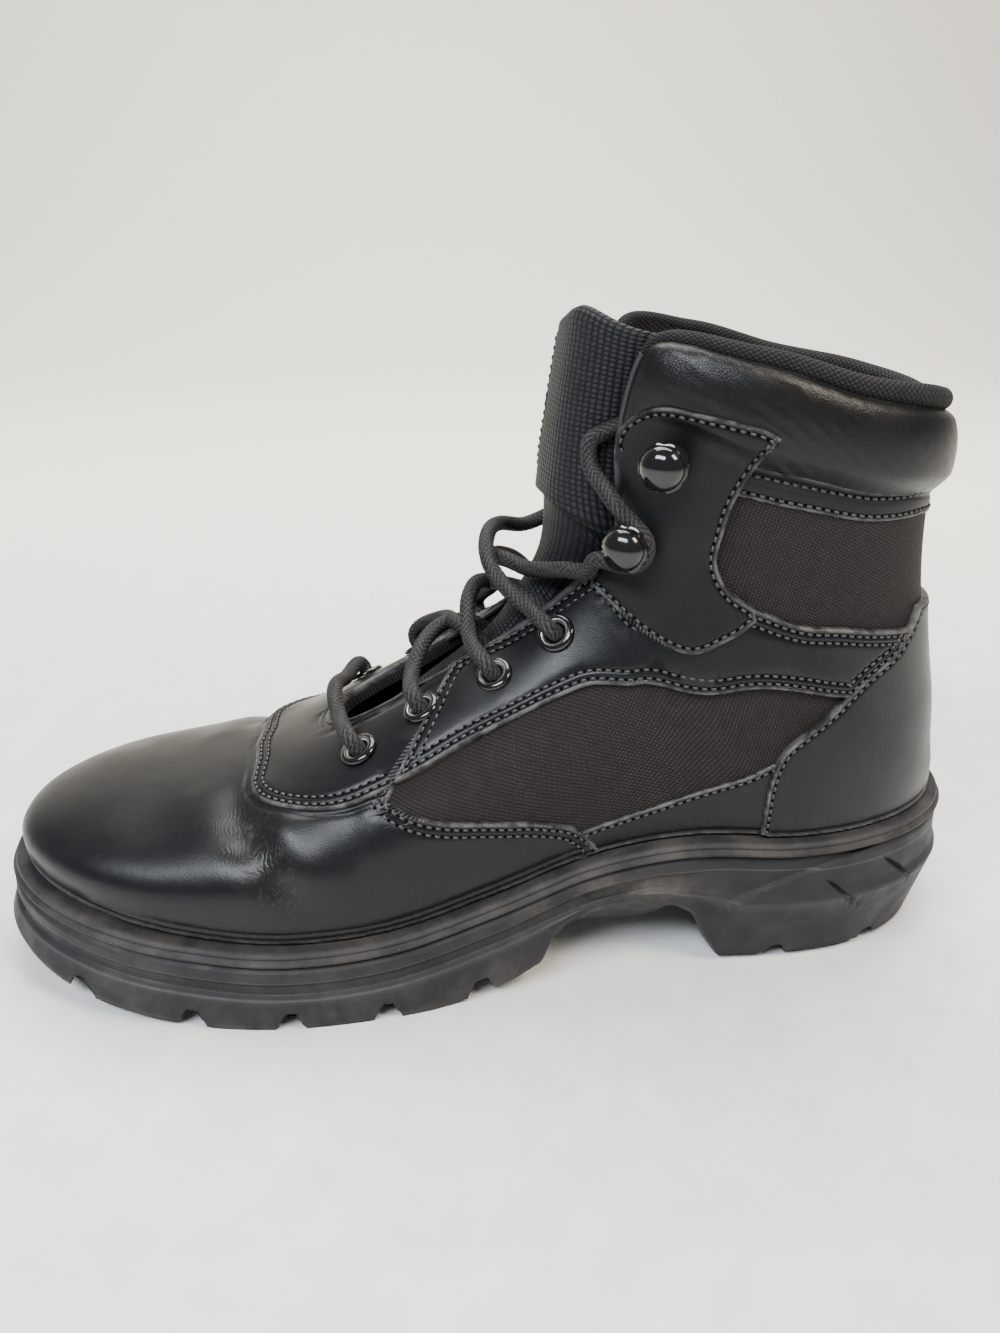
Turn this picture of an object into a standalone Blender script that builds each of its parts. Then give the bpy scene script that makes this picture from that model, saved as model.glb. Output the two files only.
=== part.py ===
"""Combat boot, left foot, standing empty on its sole.

World frame: metres, +Z up, floor at Z = 0, toe towards -X, heel towards +X,
the outer (lateral) side towards -Y. The origin is on the floor, under the
middle of the sole's length and width.

The upper is one function. A boot point is (along, side, up): along runs from
the back of the heel to the toe, side is positive towards the lateral side and
up is the height over the floor. foot() gives the lasted foot part from upright
sections, shaft() the leg part from level sections, and form() melts the two
together. skin() finds the surface from two shares: turn goes round the boot
(0 toe, 1 heel, further on or below 0 the medial side) and rise goes from the
line where upper and sole meet (0) to the throat and collar edge (1).
"""
import math

import bmesh
import bpy
import numpy as np
from mathutils import Matrix, Vector
from mathutils.geometry import delaunay_2d_cdt

# Driving sizes, metres
LENGTH = 0.300            # the last's scale: back of the heel to the toe, over the sole
BALL_WIDTH = 0.103        # upper, across the ball
INSTEP_HEIGHT = 0.076     # crown of the instep over the sole line
SOLE_HEIGHT = 0.0455      # sole line over the floor at the heel
SHAFT_HEIGHT = 0.140      # collar front over the sole line at the heel
SHAFT_WIDTH = 0.079       # ankle, side to side
WALL = 0.0024             # leather with its lining
COVER = 0.0013            # one layer of leather laid over the upper
CUFF_SWELL = 0.0056       # how far the padded cuff stands out
CLEARANCE = 0.0003        # between flat or round neighbours
COVER_GAP = 0.0006        # under a curved layer
BEAD_HEIGHT = 0.0048      # rolled edge of the midsole
INSOLE_THICKNESS = 0.0040
TONGUE_THICKNESS = 0.0055
TONGUE_WIDTH = 0.064
LACE_DIAMETER = 0.0046
EYELET_BORE = 0.0060
EYELET_FLANGE = 0.0112
EYELET_WALL = 0.0005
HOOK_DOME = 0.0130
HOOK_NECK = 0.0044
HOOK_FOOT = 0.0010
LUG_DEPTH = 0.0055
LUG_GROOVE = 0.0075

# Foot part, upright sections. along: share of LENGTH; lateral, medial: half widths as shares
# of BALL_WIDTH; crown: over the sole line, share of INSTEP_HEIGHT; sole_line: share of SOLE_HEIGHT
FOOT = (
    # along, lateral, medial, crown, sole_line
    (0.00, 0.330, 0.330, 0.17, 1.033),
    (0.10, 0.354, 0.345, 0.45, 1.000),
    (0.20, 0.364, 0.345, 0.84, 0.978),
    (0.30, 0.369, 0.335, 1.00, 1.000),
    (0.40, 0.398, 0.345, 0.97, 0.880),
    (0.50, 0.450, 0.379, 0.88, 0.685),
    (0.60, 0.510, 0.427, 0.72, 0.550),
    (0.70, 0.532, 0.466, 0.53, 0.525),
    (0.80, 0.490, 0.466, 0.39, 0.572),
    (0.90, 0.437, 0.417, 0.30, 0.665),
    (1.00, 0.369, 0.350, 0.21, 0.750),
)
# Leg part, level sections. up: over the sole line at the heel, share of SHAFT_HEIGHT; back, front:
# shares of LENGTH; lateral, medial: half widths as shares of SHAFT_WIDTH
SHAFT = (
    # up, back, front, lateral, medial
    (-0.11, 0.020, 0.407, 0.443, 0.430),
    (0.03, 0.020, 0.413, 0.456, 0.443),
    (0.21, 0.028, 0.427, 0.468, 0.449),
    (0.39, 0.047, 0.427, 0.481, 0.462),
    (0.57, 0.062, 0.417, 0.494, 0.475),
    (0.75, 0.067, 0.410, 0.506, 0.487),
    (0.93, 0.067, 0.397, 0.519, 0.500),
    (1.10, 0.063, 0.383, 0.532, 0.513),
)
# Ribs from the toe (turn 0) to the heel (turn 1). Each starts on the sole line and ends on the
# throat or collar edge, and is seen from a point that moves inside the boot
RIBS = (
    # turn, foot_along, foot_side, edge_along, edge_side, edge_up, inner_low, inner_along, inner_up
    (0.00, 0.975, 0.00, 0.653, 0.000, 0.182, 0.72, 0.637, 0.00),
    (0.08, 0.965, 0.45, 0.650, 0.063, 0.186, 0.72, 0.633, 0.00),
    (0.16, 0.930, 0.85, 0.637, 0.114, 0.196, 0.72, 0.627, 0.00),
    (0.24, 0.860, 1.00, 0.613, 0.139, 0.218, 0.71, 0.613, 0.01),
    (0.33, 0.750, 1.00, 0.573, 0.152, 0.275, 0.67, 0.587, 0.03),
    (0.42, 0.630, 1.00, 0.523, 0.171, 0.354, 0.59, 0.543, 0.07),
    (0.50, 0.510, 1.00, 0.470, 0.196, 0.432, 0.50, 0.490, 0.15),
    (0.57, 0.410, 1.00, 0.413, 0.228, 0.507, 0.41, 0.417, 0.26),
    (0.62, 0.340, 1.00, 0.383, 0.291, 0.589, 0.36, 0.333, 0.46),
    (0.67, 0.280, 1.00, 0.383, 0.304, 0.711, 0.31, 0.273, 0.67),
    (0.71, 0.230, 1.00, 0.390, 0.291, 0.832, 0.27, 0.253, 0.82),
    (0.75, 0.185, 1.00, 0.367, 0.323, 0.982, 0.24, 0.240, 0.93),
    (0.80, 0.130, 0.97, 0.280, 0.481, 0.968, 0.21, 0.207, 0.92),
    (0.86, 0.080, 0.85, 0.187, 0.487, 0.911, 0.19, 0.193, 0.89),
    (0.92, 0.044, 0.60, 0.107, 0.329, 0.875, 0.18, 0.193, 0.86),
    (1.00, 0.022, 0.00, 0.065, 0.000, 0.846, 0.18, 0.193, 0.83),
)
TOE_START, TOE_END = 0.76, 0.972      # where the toe starts to round, and its tip, shares of LENGTH
HEEL_START, HEEL_END = 0.24, 0.070
TOE_SWING = -0.013                    # the toe leans to the medial side, share of LENGTH
WIDEST = 0.36                         # height of the widest line, share of the crown's height
BLEND = 0.067                         # reach of the melt between foot and leg, share of LENGTH


def smooth_column(rows, column):
    """A smooth curve through one column of a table, against its first column."""
    xs = np.array([row[0] for row in rows])
    ys = np.array([row[column] for row in rows])
    slopes = np.gradient(ys, xs)

    def at(x):
        x = np.clip(x, xs[0], xs[-1])
        i = np.clip(np.searchsorted(xs, x) - 1, 0, len(xs) - 2)
        width = xs[i + 1] - xs[i]
        t = (x - xs[i]) / width
        start = (1 + 2 * t) * (1 - t) ** 2 * ys[i] + t * (1 - t) ** 2 * width * slopes[i]
        end = t * t * (3 - 2 * t) * ys[i + 1] + t * t * (t - 1) * width * slopes[i + 1]
        return start + end
    return at


FOOT_LATERAL, FOOT_MEDIAL, FOOT_CROWN, FOOT_LINE = [smooth_column(FOOT, i) for i in range(1, 5)]
LEG_BACK, LEG_FRONT, LEG_LATERAL, LEG_MEDIAL = [smooth_column(SHAFT, i) for i in range(1, 5)]
RIB = [smooth_column(RIBS, i) for i in range(1, 9)]


def sole_line(along):
    """Height of the line where upper and sole meet."""
    return SOLE_HEIGHT * FOOT_LINE(along / LENGTH)


def tips(along):
    """0 along the foot, rising to 1 at the tips of toe and heel and on past them."""
    share = along / LENGTH
    toe = np.maximum((share - TOE_START) / (TOE_END - TOE_START), 0)
    heel = np.maximum((HEEL_START - share) / (HEEL_START - HEEL_END), 0)
    return toe ** 2.6 + heel ** 2.6


def foot(p):
    """Roughly the distance outside the foot part."""
    along, side, up = p[..., 0], p[..., 1], p[..., 2]
    share = along / LENGTH
    side = side - TOE_SWING * LENGTH * np.clip((share - 0.6) / 0.4, 0, 1)
    half = np.where(side > 0, FOOT_LATERAL(share), FOOT_MEDIAL(share)) * BALL_WIDTH
    crown = FOOT_CROWN(share) * INSTEP_HEIGHT
    widest = WIDEST * crown
    above = (up - sole_line(along) - widest) / (crown - widest)
    below = (sole_line(along) + widest - up) / (1.6 * widest + 0.047 * LENGTH)
    height = np.where(above > 0, above, below)
    radius = (np.abs(side / half) ** 2.3 + np.abs(height) ** 2.3 + tips(along)) ** (1 / 2.3)
    return (radius - 1) * 0.39 * BALL_WIDTH


def shaft(p):
    """Roughly the distance outside the leg part."""
    along, side, up = p[..., 0], p[..., 1], p[..., 2]
    share = (up - SOLE_HEIGHT) / SHAFT_HEIGHT
    back, front = LEG_BACK(share) * LENGTH, LEG_FRONT(share) * LENGTH
    middle = back + 0.46 * (front - back)
    fore = np.where(along > middle, (along - middle) / (front - middle), (middle - along) / (middle - back))
    half = np.where(side > 0, LEG_LATERAL(share), LEG_MEDIAL(share)) * SHAFT_WIDTH
    radius = (np.abs(fore) ** 2.35 + np.abs(side / half) ** 2.35) ** (1 / 2.35)
    return (radius - 1) * 0.53 * SHAFT_WIDTH


def form(p):
    """Below 0 inside the boot, 0 on the outer face of its leather."""
    in_foot, in_leg = foot(p), shaft(p)
    reach = BLEND * LENGTH
    mix = np.clip(0.5 + 0.5 * (in_leg - in_foot) / reach, 0, 1)
    return in_leg * (1 - mix) + in_foot * mix - reach * mix * (1 - mix)


def outward(p):
    """Unit normal of the form."""
    step = 0.0002
    slope = [form(p + axis * step) - form(p - axis * step) for axis in np.eye(3)]
    slope = np.stack(slope, -1)
    return slope / np.linalg.norm(slope, axis=-1, keepdims=True)


def cast(start, direction):
    """Where rays from inside the boot reach the form."""
    near, far = np.zeros(start.shape[:-1]), np.full(start.shape[:-1], 0.6 * LENGTH)
    for _ in range(34):
        middle = (near + far) / 2
        inside = form(start + direction * middle[..., None]) < 0
        near = np.where(inside, middle, near)
        far = np.where(inside, far, middle)
    return start + direction * near[..., None]


def skin(turn, rise, lift=0.0):
    """Boot points on the form at shares turn and rise, moved out by lift."""
    turn, rise, lift = np.broadcast_arrays(np.asarray(turn, float), rise, lift)
    medial = (turn < 0) | (turn > 1)
    side = np.where(medial, -1.0, 1.0)
    share = np.where(turn < 0, -turn, np.where(turn > 1, 2 - turn, turn))
    foot_along, foot_side, edge_along, edge_side, edge_up, inner_low, inner_along, inner_up = [r(share) for r in RIB]
    half = np.where(medial, FOOT_MEDIAL(foot_along), FOOT_LATERAL(foot_along)) * BALL_WIDTH
    line = sole_line(foot_along * LENGTH)
    low = np.stack([foot_along * LENGTH, side * foot_side * half, line], -1)
    edge = np.stack([edge_along * LENGTH, side * edge_side * SHAFT_WIDTH, SOLE_HEIGHT + edge_up * SHAFT_HEIGHT], -1)
    low_eye = np.stack([inner_low * LENGTH, 0 * line, line], -1)
    high_eye = np.stack([inner_along * LENGTH, 0 * line, SOLE_HEIGHT + inner_up * SHAFT_HEIGHT], -1)
    rise = rise[..., None]
    eye = low_eye + (high_eye - low_eye) * rise
    aim = low + (edge - low) * rise - eye
    found = cast(eye, aim / np.linalg.norm(aim, axis=-1, keepdims=True))
    return found + outward(found) * lift[..., None]


# The grid that the upper and all its layers share. A layer's points lie on this grid's flat pieces, so
# that its faces run along those of the upper
TURNS = np.linspace(0, 2, 49)[:-1]
RISES = np.array([0.0, 0.09, 0.19, 0.30, 0.42, 0.54, 0.66, 0.78, 0.89, 1.0])
GRID = skin(*np.meshgrid(TURNS, RISES))
GRID_NORMALS = outward(GRID)


def panel(turn, rise, lift=0.0):
    """Boot points on the grid's flat pieces at shares turn and rise, moved out by lift."""
    turn, rise, lift = np.broadcast_arrays(np.asarray(turn, float), rise, lift)
    place = np.mod(turn, 2.0) / TURNS[1]
    column = np.floor(place).astype(int) % len(TURNS)
    beside = (column + 1) % len(TURNS)
    row = np.clip(np.searchsorted(RISES, rise, side="right") - 1, 0, len(RISES) - 2)
    t = (place - np.floor(place))[..., None]
    r = ((rise - RISES[row]) / (RISES[row + 1] - RISES[row]))[..., None]

    def mixed(values):
        low = values[row, column] * (1 - t) + values[row, beside] * t
        high = values[row + 1, column] * (1 - t) + values[row + 1, beside] * t
        return low * (1 - r) + high * r
    return mixed(GRID) + mixed(GRID_NORMALS) * lift[..., None]


# Layers, as lifts from the form: the leather's outer face is at 0
UPPER_FACE = -(COVER + COVER_GAP)
COVER_FACE = -COVER
EYESTAY_FACE = COVER_FACE + CLEARANCE
SECOND_FACE = CLEARANCE + COVER_GAP
EYELET_FACE = CLEARANCE + COVER_GAP
HOOK_FACE = SECOND_FACE + COVER + COVER_GAP

# The sole's side, top to bottom. Drops are from the parting line under the bead, margins are from the
# line of the upper, both in shares of LENGTH, at the forefoot, the waist and the heel
SOLE_SIDE = (
    # drop_fore, drop_waist, drop_heel, margin_fore, margin_waist, margin_heel
    (0.000, 0.000, 0.000, 0.0115, 0.0115, 0.0115),
    (0.005, 0.005, 0.005, 0.0165, 0.0150, 0.0145),
    (0.015, 0.013, 0.016, 0.0170, 0.0150, 0.0145),
    (0.018, 0.016, 0.020, 0.0140, 0.0120, 0.0145),
    (0.028, 0.028, 0.040, 0.0145, 0.0120, 0.0160),
    (0.031, 0.031, 0.049, 0.0200, 0.0165, 0.0205),
)
BOTTOM_EDGE = (0.008, 0.0250, 0.0170, 0.0000)      # height over the bottom, then margins as above
BOTTOM = (0.0225, 0.0150, -0.0140)                 # margins of the bottom itself
# The sole's underside. along: share of LENGTH; up: share of SOLE_HEIGHT at the edge of the sole;
# bar: how far the middle of the waist hangs below that edge, share of SOLE_HEIGHT
UNDERSIDE = (
    # along, up, bar
    (0.000, 0.000, 0.00), (0.080, 0.000, 0.00), (0.160, 0.000, 0.00), (0.265, 0.000, 0.00),
    (0.283, 0.190, 0.00), (0.297, 0.400, 0.02), (0.325, 0.540, 0.28), (0.360, 0.590, 0.34),
    (0.395, 0.550, 0.30), (0.428, 0.440, 0.20), (0.442, 0.360, 0.12), (0.452, 0.190, 0.00),
    (0.480, 0.110, 0.00), (0.520, 0.040, 0.00), (0.560, 0.000, 0.00), (0.760, 0.000, 0.00),
    (0.820, 0.040, 0.00), (0.880, 0.100, 0.00), (0.940, 0.180, 0.00), (1.000, 0.270, 0.00),
)
UNDERSIDE_ALONG = np.array([row[0] for row in UNDERSIDE])
RING_TURNS = np.concatenate([
    np.linspace(0.0, 0.24, 7)[:-1], np.linspace(0.24, 0.46, 6)[:-1],
    np.linspace(0.46, 0.72, 14)[:-1], np.linspace(0.72, 1.0, 9),
])


def ring(margin, drop=0.0):
    """Closed ring round the sole line: boot points pushed out in plan by margin."""
    turns = np.concatenate([RING_TURNS, 2 - RING_TURNS[-2:0:-1]])
    line = skin(turns, 0.0)
    ahead, behind = np.roll(line, -1, 0), np.roll(line, 1, 0)
    run = ahead - behind
    out = np.stack([run[:, 1], -run[:, 0]], -1)
    out = out / np.linalg.norm(out, axis=-1, keepdims=True)
    if np.dot(out[0], [1.0, 0.0]) < 0:
        out = -out
    moved = line.copy()
    moved[:, :2] += out * np.asarray(margin)[..., None]
    moved[:, 2] = sole_line(line[:, 0]) - drop
    return moved


def zones(along):
    """Weights of forefoot, waist and heel at a place along the sole."""
    share = along / LENGTH
    fore = np.clip((share - 0.42) / 0.08, 0, 1)
    heel = np.clip((0.34 - share) / 0.08, 0, 1)
    return np.stack([fore, 1 - fore - heel, heel], -1)


def sole_ring(margins, drops):
    """A ring whose margin and drop change between forefoot, waist and heel."""
    weights = zones(ring(0.0)[:, 0])
    return ring(weights @ np.array(margins) * LENGTH, BEAD_HEIGHT + CLEARANCE + weights @ np.array(drops) * LENGTH)


def underside(along):
    return np.interp(along / LENGTH, UNDERSIDE_ALONG, [row[1] for row in UNDERSIDE]) * SOLE_HEIGHT


def waist_bar(along):
    return np.interp(along / LENGTH, UNDERSIDE_ALONG, [row[2] for row in UNDERSIDE]) * SOLE_HEIGHT


def plan_centre():
    """Middle of the sole in plan, which is put over the origin."""
    rings = [sole_ring(row[3:], row[:3]) for row in SOLE_SIDE]
    rings.append(sole_ring(BOTTOM_EDGE[1:], (0, 0, 0)))
    points = np.concatenate(rings)
    return (points.max(0) + points.min(0)) / 2


CENTRE = plan_centre()


def world(p):
    """Boot points to world coordinates."""
    p = np.asarray(p, float)
    return np.stack([CENTRE[0] - p[..., 0], CENTRE[1] - p[..., 1], p[..., 2]], -1)


def world_direction(v):
    return np.asarray(v) * np.array([-1.0, -1.0, 1.0])


def material(name, colour, roughness, metallic=0.0):
    made = bpy.data.materials.new(name)
    made.use_nodes = True
    shader = made.node_tree.nodes["Principled BSDF"]
    shader.inputs["Base Color"].default_value = (*colour, 1.0)
    shader.inputs["Roughness"].default_value = roughness
    shader.inputs["Metallic"].default_value = metallic
    return made


def clear_scene():
    for thing in list(bpy.data.objects):
        bpy.data.objects.remove(thing, do_unlink=True)


def new_collection(name):
    made = bpy.data.collections.new(name)
    bpy.context.scene.collection.children.link(made)
    return made


def add_object(name, data, collection, finish=None):
    made = bpy.data.objects.new(name, data)
    collection.objects.link(made)
    if finish is not None:
        data.materials.append(finish)
    return made


def mesh_object(name, points, faces, collection, finish=None):
    """An object from boot points, with its faces turned outward and shaded smooth."""
    mesh = bpy.data.meshes.new(name)
    mesh.from_pydata([tuple(p) for p in world(points)], [], [list(map(int, f)) for f in faces])
    work = bmesh.new()
    work.from_mesh(mesh)
    bmesh.ops.recalc_face_normals(work, faces=work.faces)
    work.to_mesh(mesh)
    work.free()
    mesh.shade_smooth()
    mesh.set_sharp_from_angle(angle=math.radians(40))
    return add_object(name, mesh, collection, finish)


def face_outward(thing, points):
    """Turns an open sheet so that its faces look away from the boot."""
    mesh = thing.data
    first = mesh.polygons[0]
    normal = world_direction(outward(points[list(first.vertices)].mean(0)))
    if first.normal.dot(Vector(normal)) < 0:
        mesh.flip_normals()


def grid_faces(rows, columns, closed):
    """Quads of a grid whose points run row by row."""
    faces = []
    for i in range(rows - 1):
        for j in range(columns if closed else columns - 1):
            k = (j + 1) % columns
            faces.append((i * columns + j, i * columns + k, (i + 1) * columns + k, (i + 1) * columns + j))
    return faces


def stack_solid(name, rings, collection, finish, floor_columns=()):
    """A solid from level rings, top first. Each cap is ruled from side to side."""
    count = len(rings[0])
    points = [p for one in rings for p in one]
    faces = grid_faces(len(rings), count, True)
    half = count // 2

    def cap(offset, columns):
        """Strips between points that mirror each other over the long axis."""
        lanes = [[offset + i for i in range(half + 1)]]
        for reach, height in columns:
            lane = [offset]
            for i in range(1, half):
                left, right = points[offset + i], points[offset + count - i]
                middle = (left + right) / 2
                point = middle + (left - middle) * reach
                point[2] = height(point[0])
                points.append(point)
                lane.append(len(points) - 1)
            lane.append(offset + half)
            lanes.append(lane)
        lanes.append([offset] + [offset + count - i for i in range(1, half)] + [offset + half])
        for a, b in zip(lanes[:-1], lanes[1:]):
            for i in range(half):
                quad = [a[i], a[i + 1], b[i + 1], b[i]]
                faces.append(list(dict.fromkeys(quad)))

    cap(0, ())
    cap((len(rings) - 1) * count, floor_columns)
    return mesh_object(name, points, faces, collection, finish)


def shell(thing, thickness, offset):
    made = thing.modifiers.new("Wall", "SOLIDIFY")
    made.thickness = thickness
    made.offset = offset
    made.use_quality_normals = True
    return made


def cut(thing, cutter):
    made = thing.modifiers.new("Cut", "BOOLEAN")
    made.operation = "DIFFERENCE"
    made.solver = "EXACT"
    made.object = cutter


def hide(thing):
    thing.hide_render = True
    thing.display_type = "WIRE"


def build_upper(parts, holes, finish):
    """One hollow wall, open at throat, collar and underneath."""
    points = (GRID + GRID_NORMALS * UPPER_FACE).reshape(-1, 3)
    thing = mesh_object("upper", points, grid_faces(len(RISES), len(TURNS), True), parts, finish)
    face_outward(thing, points)
    shell(thing, WALL, -1)
    cut(thing, holes)
    return thing


def within(outline, place):
    """Whether a place lies inside an outline."""
    odd = False
    for (t0, r0), (t1, r1) in zip(outline, outline[1:] + outline[:1]):
        if (r0 > place[1]) != (r1 > place[1]) and place[0] < (t1 - t0) * (place[1] - r0) / (r1 - r0) + t0:
            odd = not odd
    return odd


def patch(outline, rows):
    """An outline of (turn, rise) filled with triangles, none of which crosses a line of the grid or a row."""
    outline = [(t / TURNS[1], r / RISES[1]) for t, r in outline]
    turns, rises = [p[0] for p in outline], [p[1] for p in outline]
    points = [Vector(p) for p in outline]
    lines = []
    for k in range(math.ceil(min(turns)), math.floor(max(turns)) + 1):
        lines.append(((k, min(rises) - 1), (k, max(rises) + 1)))
    for rise in np.concatenate([RISES, rows]) / RISES[1]:
        if min(rises) < rise < max(rises):
            lines.append(((min(turns) - 1, rise), (max(turns) + 1, rise)))
    for line in lines:
        points += [Vector(end) for end in line]
    ties = [(len(outline) + 2 * i, len(outline) + 2 * i + 1) for i in range(len(lines))]
    places, _, faces, *_ = delaunay_2d_cdt(points, ties, [list(range(len(outline)))], 1, 0.03)
    faces = [face for face in faces if within(outline, sum((places[i] for i in face), Vector((0, 0))) / 3)]
    used = sorted({i for face in faces for i in face})
    number = {old: new for new, old in enumerate(used)}
    spots = np.array([(places[i][0] * TURNS[1], places[i][1] * RISES[1]) for i in used])
    return spots, [tuple(number[i] for i in face) for face in faces]


def layer(name, outline, inner, outer, parts, finish, rows=()):
    """A closed layer over an outline, between two lifts given for every spot of its patch."""
    spots, faces = patch(list(outline), rows)
    turn, rise = spots[:, 0], spots[:, 1]
    points = np.concatenate([panel(turn, rise, inner(turn, rise)), panel(turn, rise, outer(turn, rise))])
    shift = len(spots)
    ties = {}
    for face in faces:
        for a, b in zip(face, face[1:] + face[:1]):
            ties[(a, b)] = ties.get((a, b), 0) + 1
    rim = [(a, b) for a, b in ties if (b, a) not in ties]
    both = faces + [tuple(i + shift for i in reversed(face)) for face in faces]
    both += [(b, a, a + shift, b + shift) for a, b in rim]
    return mesh_object(name, points, both, parts, finish)


def build_cover(name, outline, face, parts, finish, holes=None):
    """A layer of leather on the form."""
    thing = layer(name, outline, lambda turn, rise: face, lambda turn, rise: face + COVER, parts, finish)
    if holes is not None:
        cut(thing, holes)
    return thing


def mirrored(outline):
    """The same outline on the medial side."""
    return [(-t, r) for t, r in reversed(outline)]


def over_toe(outline):
    """An outline that starts at the toe's centre line, with its medial half added."""
    return list(outline) + [(-t, r) for t, r in reversed(outline) if t > 0]


def over_heel(outline):
    """An outline that ends at the heel's centre line, with its medial half added."""
    return list(outline) + [(2 - t, r) for t, r in reversed(outline) if t < 1]


# Outlines of the leather layers, (turn, rise), measured on the lateral side
SEAM = 0.004
APRON_EDGE = [(0.000, 0.740), (0.095, 0.730), (0.150, 0.690), (0.200, 0.635), (0.260, 0.570),
              (0.310, 0.530), (0.355, 0.515), (0.405, 0.540)]
APRON_TOP = [(0.412, 0.985), (0.330, 0.985), (0.240, 0.985), (0.160, 0.985), (0.080, 0.985)]
VAMP_REAR = [(0.405, 0.505), (0.432, 0.440), (0.460, 0.385), (0.497, 0.320), (0.537, 0.240),
             (0.565, 0.150), (0.578, 0.060), (0.583, 0.010)]
EYESTAY_LOW = [(0.424, 0.560), (0.460, 0.592), (0.500, 0.606), (0.540, 0.614), (0.578, 0.608),
               (0.608, 0.580), (0.638, 0.542), (0.688, 0.440), (0.738, 0.360), (0.782, 0.330), (0.797, 0.318)]
BAND_TOP = [(0.828, 0.377), (0.868, 0.452), (0.880, 0.484), (0.860, 0.485), (0.825, 0.482), (0.790, 0.480),
            (0.765, 0.505), (0.735, 0.545), (0.700, 0.600)]
EYESTAY_TOP = [(0.660, 0.700), (0.632, 0.830), (0.604, 0.930), (0.592, 0.985), (0.560, 0.985), (0.500, 0.985),
               (0.460, 0.985), (0.422, 0.985)]
ANKLE = [(0.690, 0.985), (0.718, 0.962), (0.743, 0.900), (0.765, 0.882), (0.787, 0.880), (0.806, 0.872),
         (0.795, 0.830), (0.785, 0.780), (0.775, 0.725), (0.763, 0.650), (0.754, 0.595), (0.755, 0.545),
         (0.765, 0.508), (0.763, 0.482), (0.750, 0.462), (0.735, 0.464), (0.720, 0.480), (0.690, 0.555),
         (0.655, 0.665), (0.625, 0.770), (0.600, 0.865), (0.583, 0.940), (0.590, 0.985), (0.640, 0.985)]
COUNTER_EDGE = [(0.703, 0.010), (0.712, 0.070), (0.723, 0.135), (0.740, 0.195), (0.768, 0.245),
                (0.820, 0.340), (0.850, 0.390), (0.873, 0.430), (0.892, 0.480), (0.912, 0.535), (1.000, 0.545)]
MIDFOOT = [(0.590, 0.010), (0.587, 0.060), (0.577, 0.130), (0.613, 0.140), (0.667, 0.160), (0.728, 0.186),
           (0.715, 0.135), (0.704, 0.070), (0.696, 0.010)]
CUFF_LOW = [(0.700, 0.975), (0.718, 0.972), (0.743, 0.912), (0.765, 0.895), (0.790, 0.892), (0.808, 0.885),
            (0.816, 0.790), (0.840, 0.785), (0.902, 0.797), (1.000, 0.800)]
CUFF_HIGH = [(0.700, 0.995), (0.780, 0.995), (0.860, 0.995), (0.930, 0.995), (1.000, 0.995)]

CUFF_ROWS = (0.815, 0.852, 0.925, 0.960)


def cuff_swell(turn, rise):
    """How far the cuff's outer face stands out: most halfway between its edges."""
    share = np.where(turn > 1, 2 - turn, turn)
    low = np.interp(share, [t for t, _ in CUFF_LOW], [r for _, r in CUFF_LOW])
    high = CUFF_HIGH[0][1]
    across = np.clip((rise - low) / (high - low), 0, 1)
    room = np.clip((high - low) / 0.19, 0.25, 1.0)
    return CUFF_SWELL * room * (0.2 + 0.8 * np.sqrt(4 * across * (1 - across)))


def build_cuff(parts, finish):
    """The padded collar: a band on the form, swollen between its edges."""
    outline = over_heel(CUFF_LOW) + [(2 - t, r) for t, r in CUFF_HIGH[:-1]] + CUFF_HIGH[::-1]
    return layer("collar_cuff", outline, lambda turn, rise: UPPER_FACE + 1.5 * COVER_GAP,
                 lambda turn, rise: COVER_FACE + cuff_swell(turn, rise), parts, finish, CUFF_ROWS)


# Fittings on the lateral side, (turn, rise)
EYELETS = ((0.335, 0.715), (0.395, 0.800), (0.478, 0.795), (0.540, 0.830))
HOOKS = ((0.703, 0.770), (0.751, 0.790))


def seat(turn, rise, lift):
    """A frame on the form: its origin at the place, its Z along the outward normal."""
    place = panel(turn, rise, lift)
    normal = Vector(world_direction(outward(place)))
    turned = normal.to_track_quat("Z", "X").to_matrix().to_4x4()
    return Matrix.Translation(Vector(world(place))) @ turned


def both_sides(places):
    """Lateral and medial copies of places on the form, with a word for each."""
    for number, (turn, rise) in enumerate(places, 1):
        yield f"lateral_{number}", turn, rise
        yield f"medial_{number}", -turn, rise


def turned(name, profile, steps, parts, finish):
    """A profile of (radius, height) turned about Z. One that does not start on the axis is closed."""
    count = len(profile)
    ties = [(i, i + 1) for i in range(count - 1)]
    if profile[0][0] > 0:
        ties.append((count - 1, 0))
    mesh = bpy.data.meshes.new(name)
    mesh.from_pydata([(r, 0, z) for r, z in profile], ties, [])
    thing = add_object(name, mesh, parts, finish)
    screw = thing.modifiers.new("Turn", "SCREW")
    screw.steps = screw.render_steps = steps
    screw.use_merge_vertices = True
    screw.merge_threshold = 0.00001
    screw.use_normal_calculate = True
    screw.use_normal_flip = profile[0][0] > 0
    return thing


def build_holes(cutters):
    """Round cutters through the upper at the eyelets, joined in one object."""
    work = bmesh.new()
    radius = EYELET_BORE / 2 + EYELET_WALL + CLEARANCE
    for _, turn, rise in both_sides(EYELETS):
        bmesh.ops.create_cone(work, cap_ends=True, segments=9, radius1=radius, radius2=radius, depth=0.020,
                              matrix=seat(turn, rise, 0.0))
    mesh = bpy.data.meshes.new("eyelet_holes")
    work.to_mesh(mesh)
    work.free()
    thing = add_object("eyelet_holes", mesh, cutters)
    hide(thing)
    return thing


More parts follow.
